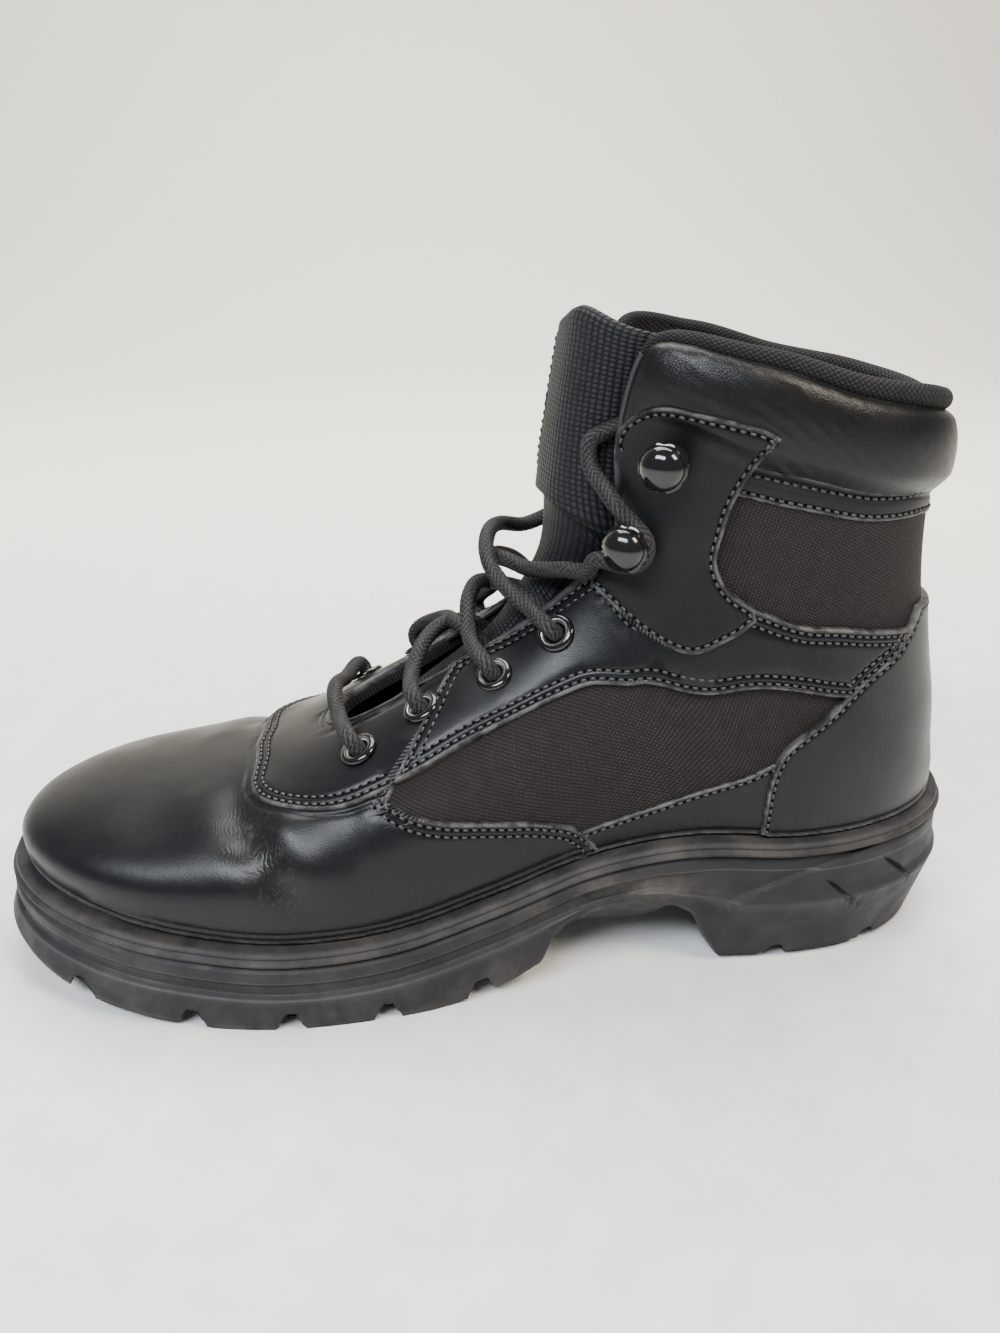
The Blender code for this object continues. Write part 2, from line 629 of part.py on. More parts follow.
def build_eyelets(parts, finish):
    bore = EYELET_BORE / 2
    barrel = bore + EYELET_WALL
    depth = WALL + COVER + 2 * COVER_GAP
    flange = EYELET_FLANGE / 2
    profile = ((barrel, -depth), (barrel, 0.0), (flange, 0.0), (flange - 0.0012, 0.0012), (bore + 0.0006, 0.0011),
               (bore, -depth))
    for word, turn, rise in both_sides(EYELETS):
        thing = turned("eyelet_" + word, profile, 9, parts, finish)
        thing.matrix_world = seat(turn, rise, EYELET_FACE)


def build_hooks(parts, finish):
    neck, dome = HOOK_NECK / 2, HOOK_DOME / 2
    gap = LACE_DIAMETER + 2 * CLEARANCE
    under = HOOK_FOOT + gap
    crown = dome * 0.72
    profile = [(0.0, 0.0), (neck + 0.0030, 0.0), (neck + 0.0030, HOOK_FOOT), (neck, HOOK_FOOT),
               (neck, under), (dome - 0.0004, under), (dome, under + 0.0008)]
    for i in range(1, 5):
        angle = math.radians(90 * i / 4)
        profile.append((dome * math.cos(angle), under + 0.0008 + crown * math.sin(angle)))
    profile[-1] = (0.0, profile[-1][1])
    for word, turn, rise in both_sides(HOOKS):
        thing = turned("hook_" + word, profile, 9, parts, finish)
        thing.matrix_world = seat(turn, rise, HOOK_FACE)


def build_midsole(parts, finish):
    """The slab under the upper with its rolled edge."""
    rows = ((0.00, 0.0070), (0.15, 0.0130), (0.50, 0.0160), (0.85, 0.0135), (1.00, 0.0100))
    rings = [ring(margin * LENGTH, CLEARANCE + (BEAD_HEIGHT - CLEARANCE) * share) for share, margin in rows]
    return stack_solid("midsole", rings, parts, finish)


def build_insole(parts, finish):
    margin = UPPER_FACE - WALL - 2 * CLEARANCE
    rings = [ring(margin, -INSOLE_THICKNESS), ring(margin, -INSOLE_THICKNESS * 0.6), ring(margin - 0.001, 0.0)]
    return stack_solid("insole", rings, parts, finish)


def build_outsole(parts, cutters, finish):
    rings = [sole_ring(row[3:], row[:3]) for row in SOLE_SIDE]
    weights = zones(rings[0][:, 0])
    for extra, margins in ((BOTTOM_EDGE[0], BOTTOM_EDGE[1:]), (0.0, BOTTOM)):
        last = ring(weights @ np.array(margins) * LENGTH)
        last[:, 2] = underside(last[:, 0]) + extra * LENGTH
        rings.append(last)
    columns = [(reach, lambda along: max(0.0, underside(along) - waist_bar(along))) for reach in (0.68, -0.68)]
    thing = stack_solid("outsole", rings, parts, finish, columns)
    cut(thing, build_lug_grooves(cutters))
    return thing


# Grooves between the lugs, shares of LENGTH along the sole
FORE_GROOVES = (0.513, 0.603, 0.693, 0.785, 0.893)
HEEL_GROOVES = (0.100, 0.205)


def build_lug_grooves(cutters):
    """V grooves that run in from both sides of the sole, joined in one cutter."""
    work = bmesh.new()
    reach = 0.16 * BALL_WIDTH
    for along in FORE_GROOVES + HEEL_GROOVES:
        place = along * LENGTH
        floor = float(underside(place))
        turns = np.linspace(0.0, 1.0, 81)
        line = skin(turns, 0.0)
        for side, sign in (("lateral", 1), ("medial", -1)):
            half = abs(float(np.interp(-place, -line[:, 0], line[:, 1])))
            outer = half + 0.035 * LENGTH
            inner = half - reach
            made = bmesh.ops.create_cone(work, cap_ends=True, segments=4, radius1=LUG_GROOVE / 2,
                                         radius2=LUG_GROOVE / 2, depth=outer - inner)
            stretch = Matrix.Diagonal((1.0, LUG_DEPTH * 2 / LUG_GROOVE, 1.0, 1.0))
            lie = Matrix.Rotation(math.radians(90), 4, "X")
            centre = world(np.array([place, sign * (outer + inner) / 2, floor]))
            move = Matrix.Translation(Vector(centre))
            bmesh.ops.transform(work, matrix=move @ lie @ stretch, verts=made["verts"])
    mesh = bpy.data.meshes.new("lug_grooves")
    work.to_mesh(mesh)
    work.free()
    thing = add_object("lug_grooves", mesh, cutters)
    hide(thing)
    return thing


# The tongue, from its stitched foot to its top. turn: the rib it lies on; ahead and raised: the row's
# shift, shares of LENGTH; swell: how far its middle stands out of its sides, share of SHAFT_WIDTH
TONGUE = (
    # turn, ahead, raised, swell
    (0.080, 0.030, 0.000, 0.000),
    (0.160, 0.010, 0.000, 0.020),
    (0.240, 0.000, 0.000, 0.040),
    (0.330, 0.000, 0.000, 0.070),
    (0.420, 0.000, 0.000, 0.095),
    (0.465, 0.000, 0.000, 0.108),
    (0.510, 0.000, 0.000, 0.145),
    (0.550, 0.000, 0.000, 0.178),
    (0.590, 0.000, 0.000, 0.212),
    (0.625, 0.000, 0.000, 0.232),
    (0.670, 0.000, 0.000, 0.230),
    (0.710, 0.000, 0.000, 0.235),
    (0.745, 0.000, 0.000, 0.250),
    (0.750, 0.000, 0.020, 0.262),
)
TONGUE_SINK = UPPER_FACE - WALL - LACE_DIAMETER - 5 * CLEARANCE
TONGUE_COLUMNS = (-1.0, -0.80, -0.60, -0.40, -0.20, 0.0, 0.20, 0.40, 0.60, 0.80, 1.0)


def throat(turn, side, lift, ahead=0.0, raised=0.0):
    """Boot points over the open throat: on a rib's level, side to side, lifted off the form."""
    turn, side, lift = np.broadcast_arrays(np.asarray(turn, float), side, lift)
    _, _, edge_along, _, edge_up, _, inner_along, inner_up = [r(turn) for r in RIB]
    up = SOLE_HEIGHT + (edge_up * SHAFT_HEIGHT) + raised * LENGTH
    aim = np.stack([(edge_along + ahead) * LENGTH, side, up], -1)
    eye_up = SOLE_HEIGHT + inner_up * SHAFT_HEIGHT + raised * LENGTH
    eye = np.stack([inner_along * LENGTH, 0 * side, eye_up], -1)
    aim = aim - eye
    found = cast(eye, aim / np.linalg.norm(aim, axis=-1, keepdims=True))
    return found + outward(found) * lift[..., None]


def throat_half(turn):
    """Half the width of the throat at a rib."""
    return RIB[3](turn) * SHAFT_WIDTH


def build_tongue(parts, finish):
    """A padded tongue whose sides lie under the throat's edges and whose middle swells out."""
    points = []
    for turn, ahead, raised, swell in TONGUE:
        side = np.array(TONGUE_COLUMNS) * TONGUE_WIDTH / 2
        half = 0.80 * max(float(throat_half(turn)), 0.14 * SHAFT_WIDTH)
        hump = np.clip(1 - (side / half) ** 2, 0, 1) ** 1.2
        lift = TONGUE_SINK + hump * swell * SHAFT_WIDTH
        points.append(throat(turn, side, lift, ahead, raised))
    points = np.concatenate(points)
    thing = mesh_object("tongue", points, grid_faces(len(TONGUE), len(TONGUE_COLUMNS), False), parts, finish)
    face_outward(thing, points)
    shell(thing, TONGUE_THICKNESS, -1)
    return thing


def smooth_route(points):
    """Points on a smooth curve through the route's own points, closest where it bends most."""
    points = np.array([np.asarray(p, float) for p in points])
    walked = np.concatenate([[0], np.cumsum(np.linalg.norm(np.diff(points, axis=0), axis=1))])
    rows = np.column_stack([walked, points])
    marks = np.concatenate([np.linspace(a, b, 8)[:-1] for a, b in zip(walked, walked[1:])] + [walked[-1:]])
    fine = np.stack([smooth_column(rows, k)(marks) for k in (1, 2, 3)], -1)
    kept = [0]
    while kept[-1] < len(fine) - 1:
        reach = kept[-1] + 1
        while reach < len(fine) - 1 and strays(fine[kept[-1]:reach + 2]) < 0.085 * LACE_DIAMETER:
            reach += 1
        kept.append(reach)
    return fine[kept]


def strays(run):
    """How far a run of points leaves the straight line between its ends."""
    line = run[-1] - run[0]
    line = line / max(np.linalg.norm(line), 1e-9)
    away = run - run[0]
    return np.linalg.norm(away - (away @ line)[:, None] * line, axis=1).max()


def cord(name, route, parts, finish):
    """A round cord along a route of boot points, as a bevelled curve with filled caps."""
    points = world(smooth_route(route))
    curve = bpy.data.curves.new(name, "CURVE")
    curve.dimensions = "3D"
    curve.bevel_depth = LACE_DIAMETER / 2
    curve.bevel_resolution = 1
    curve.render_resolution_u = 0
    curve.use_fill_caps = True
    spline = curve.splines.new("POLY")
    spline.points.add(len(points) - 1)
    for knot, place in zip(spline.points, points):
        knot.co = (*place, 1.0)
    return add_object(name, curve, parts, finish)


def as_mesh(thing, parts):
    """A curve object replaced by a closed mesh object of the same name."""
    name = thing.name
    bpy.context.view_layer.update()
    mesh = bpy.data.meshes.new_from_object(thing.evaluated_get(bpy.context.evaluated_depsgraph_get()))
    place = thing.matrix_world.copy()
    bpy.data.objects.remove(thing, do_unlink=True)
    work = bmesh.new()
    work.from_mesh(mesh)
    bmesh.ops.remove_doubles(work, verts=work.verts, dist=0.00001)
    bmesh.ops.recalc_face_normals(work, faces=work.faces)
    work.to_mesh(mesh)
    work.free()
    mesh.name = name
    made = bpy.data.objects.new(name, mesh)
    parts.objects.link(made)
    made.matrix_world = place
    return made


# Lace crossings. The lower strand leaves the medial eyelet, arches over the tongue and dives under the
# other edge at the next eyelet
CROSSINGS = (
    # word, turn at the start, turn at the end, arch over the tongue in lace diameters
    ("2", 0.395, 0.470, 1.05),
    ("3", 0.478, 0.535, 1.45),
)
# Places over the throat. turn: the rib; share: of the throat's half width, + lateral; lift: over the
# form, in lace diameters. The upper strands leave the lateral eyelets, and the lace's two ends run
# from the top eyelets in to the lower hooks and out again
UPPER_STRANDS = (
    # turn, share, lift
    ((0.348, 0.98, 0.95), (0.367, 0.48, 1.33), (0.387, 0.08, 1.49), (0.415, -0.30, 1.30), (0.445, -0.62, 0.20)),
    ((0.450, 1.06, 1.20), (0.456, 0.63, 1.82), (0.469, 0.21, 2.41), (0.485, -0.20, 2.45), (0.505, -0.60, 0.90)),
)
BAR = ((0.160, 1.52, 0.92), (0.150, 0.66, 1.35), (0.148, 0.00, 1.50), (0.150, -0.66, 1.35), (0.160, -1.52, 0.92))
LATERAL_IN = (
    (0.530, -1.05, 1.90), (0.520, -0.60, 2.70), (0.518, -0.27, 2.85), (0.525, 0.00, 2.36),
    (0.533, 0.32, 1.45), (0.545, 0.61, 1.10), (0.566, 0.90, 1.00), (0.592, 1.09, 1.05),
)
LATERAL_OUT = ((0.672, 1.01, 1.09), (0.686, 0.73, 0.86), (0.700, 0.72, 0.79), (0.706, 0.78, 0.10))
MEDIAL_IN = (
    (0.527, 1.20, 1.08), (0.520, 0.94, 1.60), (0.515, 0.59, 2.51), (0.515, 0.33, 3.30),
    (0.520, 0.07, 3.87), (0.530, -0.30, 4.15), (0.543, -0.72, 3.90), (0.562, -1.05, 3.00),
)
MEDIAL_OUT = (
    (0.672, -1.25, 2.20), (0.685, -1.10, 3.30), (0.698, -1.10, 3.50), (0.711, -1.02, 3.00),
    (0.719, -0.90, 1.60), (0.721, -0.84, 0.60),
)


def over_throat(rows):
    """Boot points of a table of places over the throat."""
    return [throat(turn, share * float(throat_half(turn)), lift * LACE_DIAMETER) for turn, share, lift in rows]


def out_of_eyelet(turn, rise):
    """The first two points of a strand that comes out of an eyelet."""
    return [skin(turn, rise, -0.2 * LACE_DIAMETER), skin(turn, rise, 0.9 * LACE_DIAMETER)]


def under_edge(start, end, sign):
    """The last two points of a strand that dives under the throat's edge on side sign."""
    lift = UPPER_FACE - WALL - 0.5 * LACE_DIAMETER - CLEARANCE
    near, far = start + 0.9 * (end - start), end
    return [throat(near, sign * 0.92 * float(throat_half(near)), lift * 0.96),
            throat(far, sign * 1.06 * float(throat_half(far)), lift)]


def lower_strand(eyelet, start, end, arch):
    """Route of a crossing's lower strand, from the medial eyelet to under the lateral edge."""
    turn, rise = eyelet
    first, middle, last = start + 0.25 * (end - start), (start + end) / 2, start + 0.75 * (end - start)
    rows = ((first, -0.95, 1.25), (middle, 0.0, arch), (last, 0.58, 0.0))
    return out_of_eyelet(-turn, rise) + over_throat(rows) + under_edge(start, end, 1)


def build_crossings(parts, cutters, finish):
    for (word, start, end, arch), rows, eyelet in zip(CROSSINGS, UPPER_STRANDS, EYELETS[1:3]):
        above = out_of_eyelet(*eyelet) + over_throat(rows) + under_edge(start, end, -1)
        over = as_mesh(cord("lace_crossing_" + word, above, parts, finish), parts)
        below = lower_strand(eyelet, start, end, arch)
        under = as_mesh(cord("lace_under_" + word, below, cutters, finish), cutters)
        hide(under)
        join = over.modifiers.new("Join", "BOOLEAN")
        join.operation = "UNION"
        join.solver = "EXACT"
        join.object = under


def build_bar(parts, finish):
    """The lace's first bar, over the apron between the lowest eyelets."""
    turn, rise = EYELETS[0]
    route = out_of_eyelet(turn, rise) + over_throat(BAR) + out_of_eyelet(-turn, rise)[::-1]
    return cord("lace_bar", route, parts, finish)


def around_neck(hook, sign):
    """Boot points of the lace round a hook's neck: in from the front, round the rear, out upwards."""
    turn, rise = hook
    base = panel(sign * turn, rise, HOOK_FACE)
    normal = outward(base)
    base = base + normal * (HOOK_FOOT + CLEARANCE + LACE_DIAMETER / 2)
    up = np.array([0.0, 0.0, 1.0]) - normal * normal[2]
    up = up / np.linalg.norm(up)
    rear = np.array([-1.0, 0.0, 0.0]) + normal * normal[0]
    rear = rear - up * rear.dot(up)
    rear = rear / np.linalg.norm(rear)
    radius = HOOK_NECK / 2 + 2 * CLEARANCE + LACE_DIAMETER / 2
    clear = 0.72 * HOOK_DOME
    route = [base - up * radius - rear * clear, base - up * radius - rear * 0.3 * clear]
    for angle in (180, 150, 120, 90, 60, 40):
        turn_up, turn_rear = math.cos(math.radians(angle)), math.sin(math.radians(angle))
        route.append(base + radius * (up * turn_up + rear * turn_rear))
    leave = up * math.sin(math.radians(40)) - rear * math.cos(math.radians(40))
    route.append(route[-1] + leave * 0.3 * clear)
    route.append(route[-2] + leave * clear)
    return route


def build_lace_ends(parts, finish):
    """The lace from the top eyelets over to the hooks' necks and on to where its ends are tucked in."""
    turn, rise = EYELETS[3]
    for word, sign, rows_in, rows_out in (("lateral", 1, LATERAL_IN, LATERAL_OUT),
                                          ("medial", -1, MEDIAL_IN, MEDIAL_OUT)):
        route = out_of_eyelet(-sign * turn, rise) + over_throat(rows_in)
        route += around_neck(HOOKS[0], sign) + over_throat(rows_out)
        cord("lace_end_" + word, route, parts, finish)


def build():
    clear_scene()
    parts = new_collection("combat_boot")
    cutters = new_collection("cutters")
    weave = material("weave", (0.035, 0.032, 0.032), 0.85)
    leather = material("leather", (0.022, 0.023, 0.026), 0.38)
    cloth = material("tongue_webbing", (0.030, 0.030, 0.032), 0.90)
    rubber = material("sole_rubber", (0.050, 0.050, 0.053), 0.70)
    foam = material("insole_foam", (0.060, 0.060, 0.065), 0.90)
    enamel = material("black_enamel", (0.010, 0.010, 0.010), 0.18, 0.6)
    lace = material("lace_braid", (0.028, 0.027, 0.026), 0.85)
    holes = build_holes(cutters)
    build_upper(parts, holes, weave)
    build_outsole(parts, cutters, rubber)
    build_midsole(parts, rubber)
    build_insole(parts, foam)
    build_tongue(parts, cloth)
    vamp = over_toe([(t, r - SEAM * 3) for t, r in APRON_EDGE] + VAMP_REAR)
    build_cover("vamp", vamp, COVER_FACE, parts, leather)
    build_cover("vamp_apron", over_toe(APRON_EDGE + APRON_TOP), COVER_FACE, parts, leather, holes)
    build_cover("heel_counter", over_heel(COUNTER_EDGE), COVER_FACE, parts, leather)
    eyestay = EYESTAY_LOW + BAND_TOP + EYESTAY_TOP
    for word, side in (("lateral", lambda line: line), ("medial", mirrored)):
        build_cover("eyestay_" + word, side(eyestay), EYESTAY_FACE, parts, leather, holes)
        build_cover("ankle_overlay_" + word, side(ANKLE), SECOND_FACE, parts, leather)
        build_cover("midfoot_panel_" + word, side(MIDFOOT), COVER_FACE, parts, leather)
    build_cuff(parts, leather)
    build_eyelets(parts, enamel)
    build_hooks(parts, enamel)
    build_bar(parts, lace)
    build_crossings(parts, cutters, lace)
    build_lace_ends(parts, lace)


build()
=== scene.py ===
"""Combat boot, left foot: the looks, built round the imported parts.

The form's tables and functions repeat the part's source, so every piece lies on the same boot. A boot
point is (along, side, up) in metres: along runs from the back of the heel to the toe, side is positive
towards the lateral side, and up is the height over the floor.
"""
import math

import bmesh
import bpy
import numpy as np
from mathutils import Matrix, Vector
from mathutils.geometry import delaunay_2d_cdt
from mathutils.kdtree import KDTree

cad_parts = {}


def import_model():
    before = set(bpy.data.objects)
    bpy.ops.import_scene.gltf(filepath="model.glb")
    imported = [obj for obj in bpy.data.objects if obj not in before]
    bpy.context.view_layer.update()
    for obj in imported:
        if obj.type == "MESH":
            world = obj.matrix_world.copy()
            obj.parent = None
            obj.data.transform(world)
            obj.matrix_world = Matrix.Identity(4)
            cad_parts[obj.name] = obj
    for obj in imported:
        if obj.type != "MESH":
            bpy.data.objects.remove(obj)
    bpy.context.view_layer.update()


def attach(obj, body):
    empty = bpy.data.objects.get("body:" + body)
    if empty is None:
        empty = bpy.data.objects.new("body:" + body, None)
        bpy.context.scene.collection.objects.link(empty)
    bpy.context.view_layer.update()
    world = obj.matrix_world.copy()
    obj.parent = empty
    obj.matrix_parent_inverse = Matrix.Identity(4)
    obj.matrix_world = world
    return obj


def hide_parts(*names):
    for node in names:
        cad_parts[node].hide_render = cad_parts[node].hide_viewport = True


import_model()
MM = 0.001

# Driving sizes, metres, as in the part's source
LENGTH = 0.300
BALL_WIDTH = 0.103
INSTEP_HEIGHT = 0.076
SOLE_HEIGHT = 0.0455
SHAFT_HEIGHT = 0.140
SHAFT_WIDTH = 0.079
WALL = 0.0024
COVER = 0.0013
CUFF_SWELL = 0.0056
CLEARANCE = 0.0003
COVER_GAP = 0.0006
BEAD_HEIGHT = 0.0048
INSOLE_THICKNESS = 0.0040
TONGUE_THICKNESS = 0.0055
TONGUE_WIDTH = 0.064
LACE_DIAMETER = 0.0046
EYELET_BORE = 0.0060
EYELET_FLANGE = 0.0112
EYELET_WALL = 0.0005
HOOK_DOME = 0.0130
HOOK_NECK = 0.0044
HOOK_FOOT = 0.0010
LUG_DEPTH = 0.0055
LUG_GROOVE = 0.0075

FOOT = (
    # along, lateral, medial, crown, sole_line
    (0.00, 0.330, 0.330, 0.17, 1.033),
    (0.10, 0.354, 0.345, 0.45, 1.000),
    (0.20, 0.364, 0.345, 0.84, 0.978),
    (0.30, 0.369, 0.335, 1.00, 1.000),
    (0.40, 0.398, 0.345, 0.97, 0.880),
    (0.50, 0.450, 0.379, 0.88, 0.685),
    (0.60, 0.510, 0.427, 0.72, 0.550),
    (0.70, 0.532, 0.466, 0.53, 0.525),
    (0.80, 0.490, 0.466, 0.39, 0.572),
    (0.90, 0.437, 0.417, 0.30, 0.665),
    (1.00, 0.369, 0.350, 0.21, 0.750),
)
SHAFT = (
    # up, back, front, lateral, medial
    (-0.11, 0.020, 0.407, 0.443, 0.430),
    (0.03, 0.020, 0.413, 0.456, 0.443),
    (0.21, 0.028, 0.427, 0.468, 0.449),
    (0.39, 0.047, 0.427, 0.481, 0.462),
    (0.57, 0.062, 0.417, 0.494, 0.475),
    (0.75, 0.067, 0.410, 0.506, 0.487),
    (0.93, 0.067, 0.397, 0.519, 0.500),
    (1.10, 0.063, 0.383, 0.532, 0.513),
)
RIBS = (
    # turn, foot_along, foot_side, edge_along, edge_side, edge_up, inner_low, inner_along, inner_up
    (0.00, 0.975, 0.00, 0.653, 0.000, 0.182, 0.72, 0.637, 0.00),
    (0.08, 0.965, 0.45, 0.650, 0.063, 0.186, 0.72, 0.633, 0.00),
    (0.16, 0.930, 0.85, 0.637, 0.114, 0.196, 0.72, 0.627, 0.00),
    (0.24, 0.860, 1.00, 0.613, 0.139, 0.218, 0.71, 0.613, 0.01),
    (0.33, 0.750, 1.00, 0.573, 0.152, 0.275, 0.67, 0.587, 0.03),
    (0.42, 0.630, 1.00, 0.523, 0.171, 0.354, 0.59, 0.543, 0.07),
    (0.50, 0.510, 1.00, 0.470, 0.196, 0.432, 0.50, 0.490, 0.15),
    (0.57, 0.410, 1.00, 0.413, 0.228, 0.507, 0.41, 0.417, 0.26),
    (0.62, 0.340, 1.00, 0.383, 0.291, 0.589, 0.36, 0.333, 0.46),
    (0.67, 0.280, 1.00, 0.383, 0.304, 0.711, 0.31, 0.273, 0.67),
    (0.71, 0.230, 1.00, 0.390, 0.291, 0.832, 0.27, 0.253, 0.82),
    (0.75, 0.185, 1.00, 0.367, 0.323, 0.982, 0.24, 0.240, 0.93),
    (0.80, 0.130, 0.97, 0.280, 0.481, 0.968, 0.21, 0.207, 0.92),
    (0.86, 0.080, 0.85, 0.187, 0.487, 0.911, 0.19, 0.193, 0.89),
    (0.92, 0.044, 0.60, 0.107, 0.329, 0.875, 0.18, 0.193, 0.86),
    (1.00, 0.022, 0.00, 0.065, 0.000, 0.846, 0.18, 0.193, 0.83),
)
TOE_START, TOE_END = 0.76, 0.972
HEEL_START, HEEL_END = 0.24, 0.070
TOE_SWING = -0.013
WIDEST = 0.36
BLEND = 0.067
# How square the sections are: 2 is an ellipse
TIP_SQUARENESS = 2.6
FOOT_SQUARENESS = 2.3
LEG_SQUARENESS = 2.35


def eased(t, width, low, high, low_slope, high_slope):
    """A smooth curve between two values with given slopes, at share t of a step of that width."""
    start = (1 + 2 * t) * (1 - t) ** 2 * low + t * (1 - t) ** 2 * width * low_slope
    end = t * t * (3 - 2 * t) * high + t * t * (t - 1) * width * high_slope
    return start + end


def smooth_step(share):
    return share * share * (3 - 2 * share)


def unit(vectors):
    return vectors / np.linalg.norm(vectors, axis=-1, keepdims=True)


def walked_along(line):
    """How far along a line of points each point lies."""
    return np.concatenate([[0], np.cumsum(np.linalg.norm(np.diff(line, axis=0), axis=1))])


def folded(turn):
    """Turns of both sides of the boot brought to 0 at the toe and 1 at the heel."""
    return np.where(turn < 0, -turn, np.where(turn > 1, 2 - turn, turn))


def smooth_column(rows, column):
    """A smooth curve through one column of a table, against its first column."""
    xs = np.array([row[0] for row in rows])
    ys = np.array([row[column] for row in rows])
    slopes = np.gradient(ys, xs)

    def at(x):
        x = np.clip(x, xs[0], xs[-1])
        i = np.clip(np.searchsorted(xs, x) - 1, 0, len(xs) - 2)
        width = xs[i + 1] - xs[i]
        return eased((x - xs[i]) / width, width, ys[i], ys[i + 1], slopes[i], slopes[i + 1])
    return at


FOOT_LATERAL, FOOT_MEDIAL, FOOT_CROWN, FOOT_LINE = [smooth_column(FOOT, i) for i in range(1, 5)]
LEG_BACK, LEG_FRONT, LEG_LATERAL, LEG_MEDIAL = [smooth_column(SHAFT, i) for i in range(1, 5)]
RIB = [smooth_column(RIBS, i) for i in range(1, 9)]


def sole_line(along):
    """Height over the floor of the line where upper and sole meet."""
    return SOLE_HEIGHT * FOOT_LINE(along / LENGTH)


def tips(along):
    """What the rounding of toe and heel adds to the foot's radius."""
    share = along / LENGTH
    toe = np.maximum((share - TOE_START) / (TOE_END - TOE_START), 0)
    heel = np.maximum((HEEL_START - share) / (HEEL_START - HEEL_END), 0)
    return toe ** TIP_SQUARENESS + heel ** TIP_SQUARENESS


def foot(p):
    """Roughly how far points lie outside the foot, in metres."""
    along, side, up = p[..., 0], p[..., 1], p[..., 2]
    share = along / LENGTH
    side = side - TOE_SWING * LENGTH * np.clip((share - 0.6) / 0.4, 0, 1)
    half = np.where(side > 0, FOOT_LATERAL(share), FOOT_MEDIAL(share)) * BALL_WIDTH
    crown = FOOT_CROWN(share) * INSTEP_HEIGHT
    widest = WIDEST * crown
    above = (up - sole_line(along) - widest) / (crown - widest)
    below = (sole_line(along) + widest - up) / (1.6 * widest + 0.047 * LENGTH)
    height = np.where(above > 0, above, below)
    radius = np.abs(side / half) ** FOOT_SQUARENESS + np.abs(height) ** FOOT_SQUARENESS + tips(along)
    radius = radius ** (1 / FOOT_SQUARENESS)
    return (radius - 1) * 0.39 * BALL_WIDTH


def shaft(p):
    """Roughly how far points lie outside the leg, in metres."""
    along, side, up = p[..., 0], p[..., 1], p[..., 2]
    share = (up - SOLE_HEIGHT) / SHAFT_HEIGHT
    back, front = LEG_BACK(share) * LENGTH, LEG_FRONT(share) * LENGTH
    middle = back + 0.46 * (front - back)
    fore = np.where(along > middle, (along - middle) / (front - middle), (middle - along) / (middle - back))
    half = np.where(side > 0, LEG_LATERAL(share), LEG_MEDIAL(share)) * SHAFT_WIDTH
    radius = (np.abs(fore) ** LEG_SQUARENESS + np.abs(side / half) ** LEG_SQUARENESS) ** (1 / LEG_SQUARENESS)
    return (radius - 1) * 0.53 * SHAFT_WIDTH


def form(p):
    """Below 0 inside the boot, 0 on the outer face of its leather."""
    in_foot, in_leg = foot(p), shaft(p)
    reach = BLEND * LENGTH
    mix = np.clip(0.5 + 0.5 * (in_leg - in_foot) / reach, 0, 1)
    return in_leg * (1 - mix) + in_foot * mix - reach * mix * (1 - mix)


def outward(p):
    """Unit normals of the form, pointing out."""
    step = 0.0002
    return unit(np.stack([form(p + axis * step) - form(p - axis * step) for axis in np.eye(3)], -1))


def cast(start, direction):
    """Where rays from inside the boot reach the form."""
    near, far = np.zeros(start.shape[:-1]), np.full(start.shape[:-1], 0.6 * LENGTH)
    for _ in range(16):
        middle = (near + far) / 2
        inside = form(start + direction * middle[..., None]) < 0
        near = np.where(inside, middle, near)
        far = np.where(inside, far, middle)
    low, high = form(start + direction * near[..., None]), form(start + direction * far[..., None])
    reach = near + (far - near) * low / np.minimum(low - high, -1e-12)
    return start + direction * reach[..., None]


def rays(turn, rise):
    """Start points and unit directions of the rays behind skin()."""
    medial = (turn < 0) | (turn > 1)
    side = np.where(medial, -1.0, 1.0)
    places = [rib(folded(turn)) for rib in RIB]
    foot_along, foot_side, edge_along, edge_side, edge_up, inner_low, inner_along, inner_up = places
    half = np.where(medial, FOOT_MEDIAL(foot_along), FOOT_LATERAL(foot_along)) * BALL_WIDTH
    line = sole_line(foot_along * LENGTH)
    low = np.stack([foot_along * LENGTH, side * foot_side * half, line], -1)
    edge_height = SOLE_HEIGHT + edge_up * SHAFT_HEIGHT
    edge = np.stack([edge_along * LENGTH, side * edge_side * SHAFT_WIDTH, edge_height], -1)
    low_eye = np.stack([inner_low * LENGTH, 0 * line, line], -1)
    high_eye = np.stack([inner_along * LENGTH, 0 * line, SOLE_HEIGHT + inner_up * SHAFT_HEIGHT], -1)
    rise = rise[..., None]
    eye = low_eye + (high_eye - low_eye) * rise
    return eye, unit(low + (edge - low) * rise - eye)


def skin(turn, rise, lift=0.0):
    """Boot points on the form at shares turn and rise, moved out by lift."""
    turn, rise, lift = np.broadcast_arrays(np.asarray(turn, float), rise, lift)
    found = cast(*rays(turn, rise))
    if not np.any(lift):
        return found
    return found + outward(found) * lift[..., None]


def throat(turn, side, lift, ahead=0.0, raised=0.0):
    """Boot points over the open throat: on a rib's level, side to side, lifted off the form."""
    turn, side, lift = np.broadcast_arrays(np.asarray(turn, float), side, lift)
    _, _, edge_along, _, edge_up, _, inner_along, inner_up = [r(turn) for r in RIB]
    up = SOLE_HEIGHT + edge_up * SHAFT_HEIGHT + raised * LENGTH
    aim = np.stack([(edge_along + ahead) * LENGTH, side, up], -1)
    eye_up = SOLE_HEIGHT + inner_up * SHAFT_HEIGHT + raised * LENGTH
    eye = np.stack([inner_along * LENGTH, 0 * side, eye_up], -1)
    found = cast(eye, unit(aim - eye))
    return found + outward(found) * lift[..., None]


def throat_half(turn):
    return RIB[3](turn) * SHAFT_WIDTH


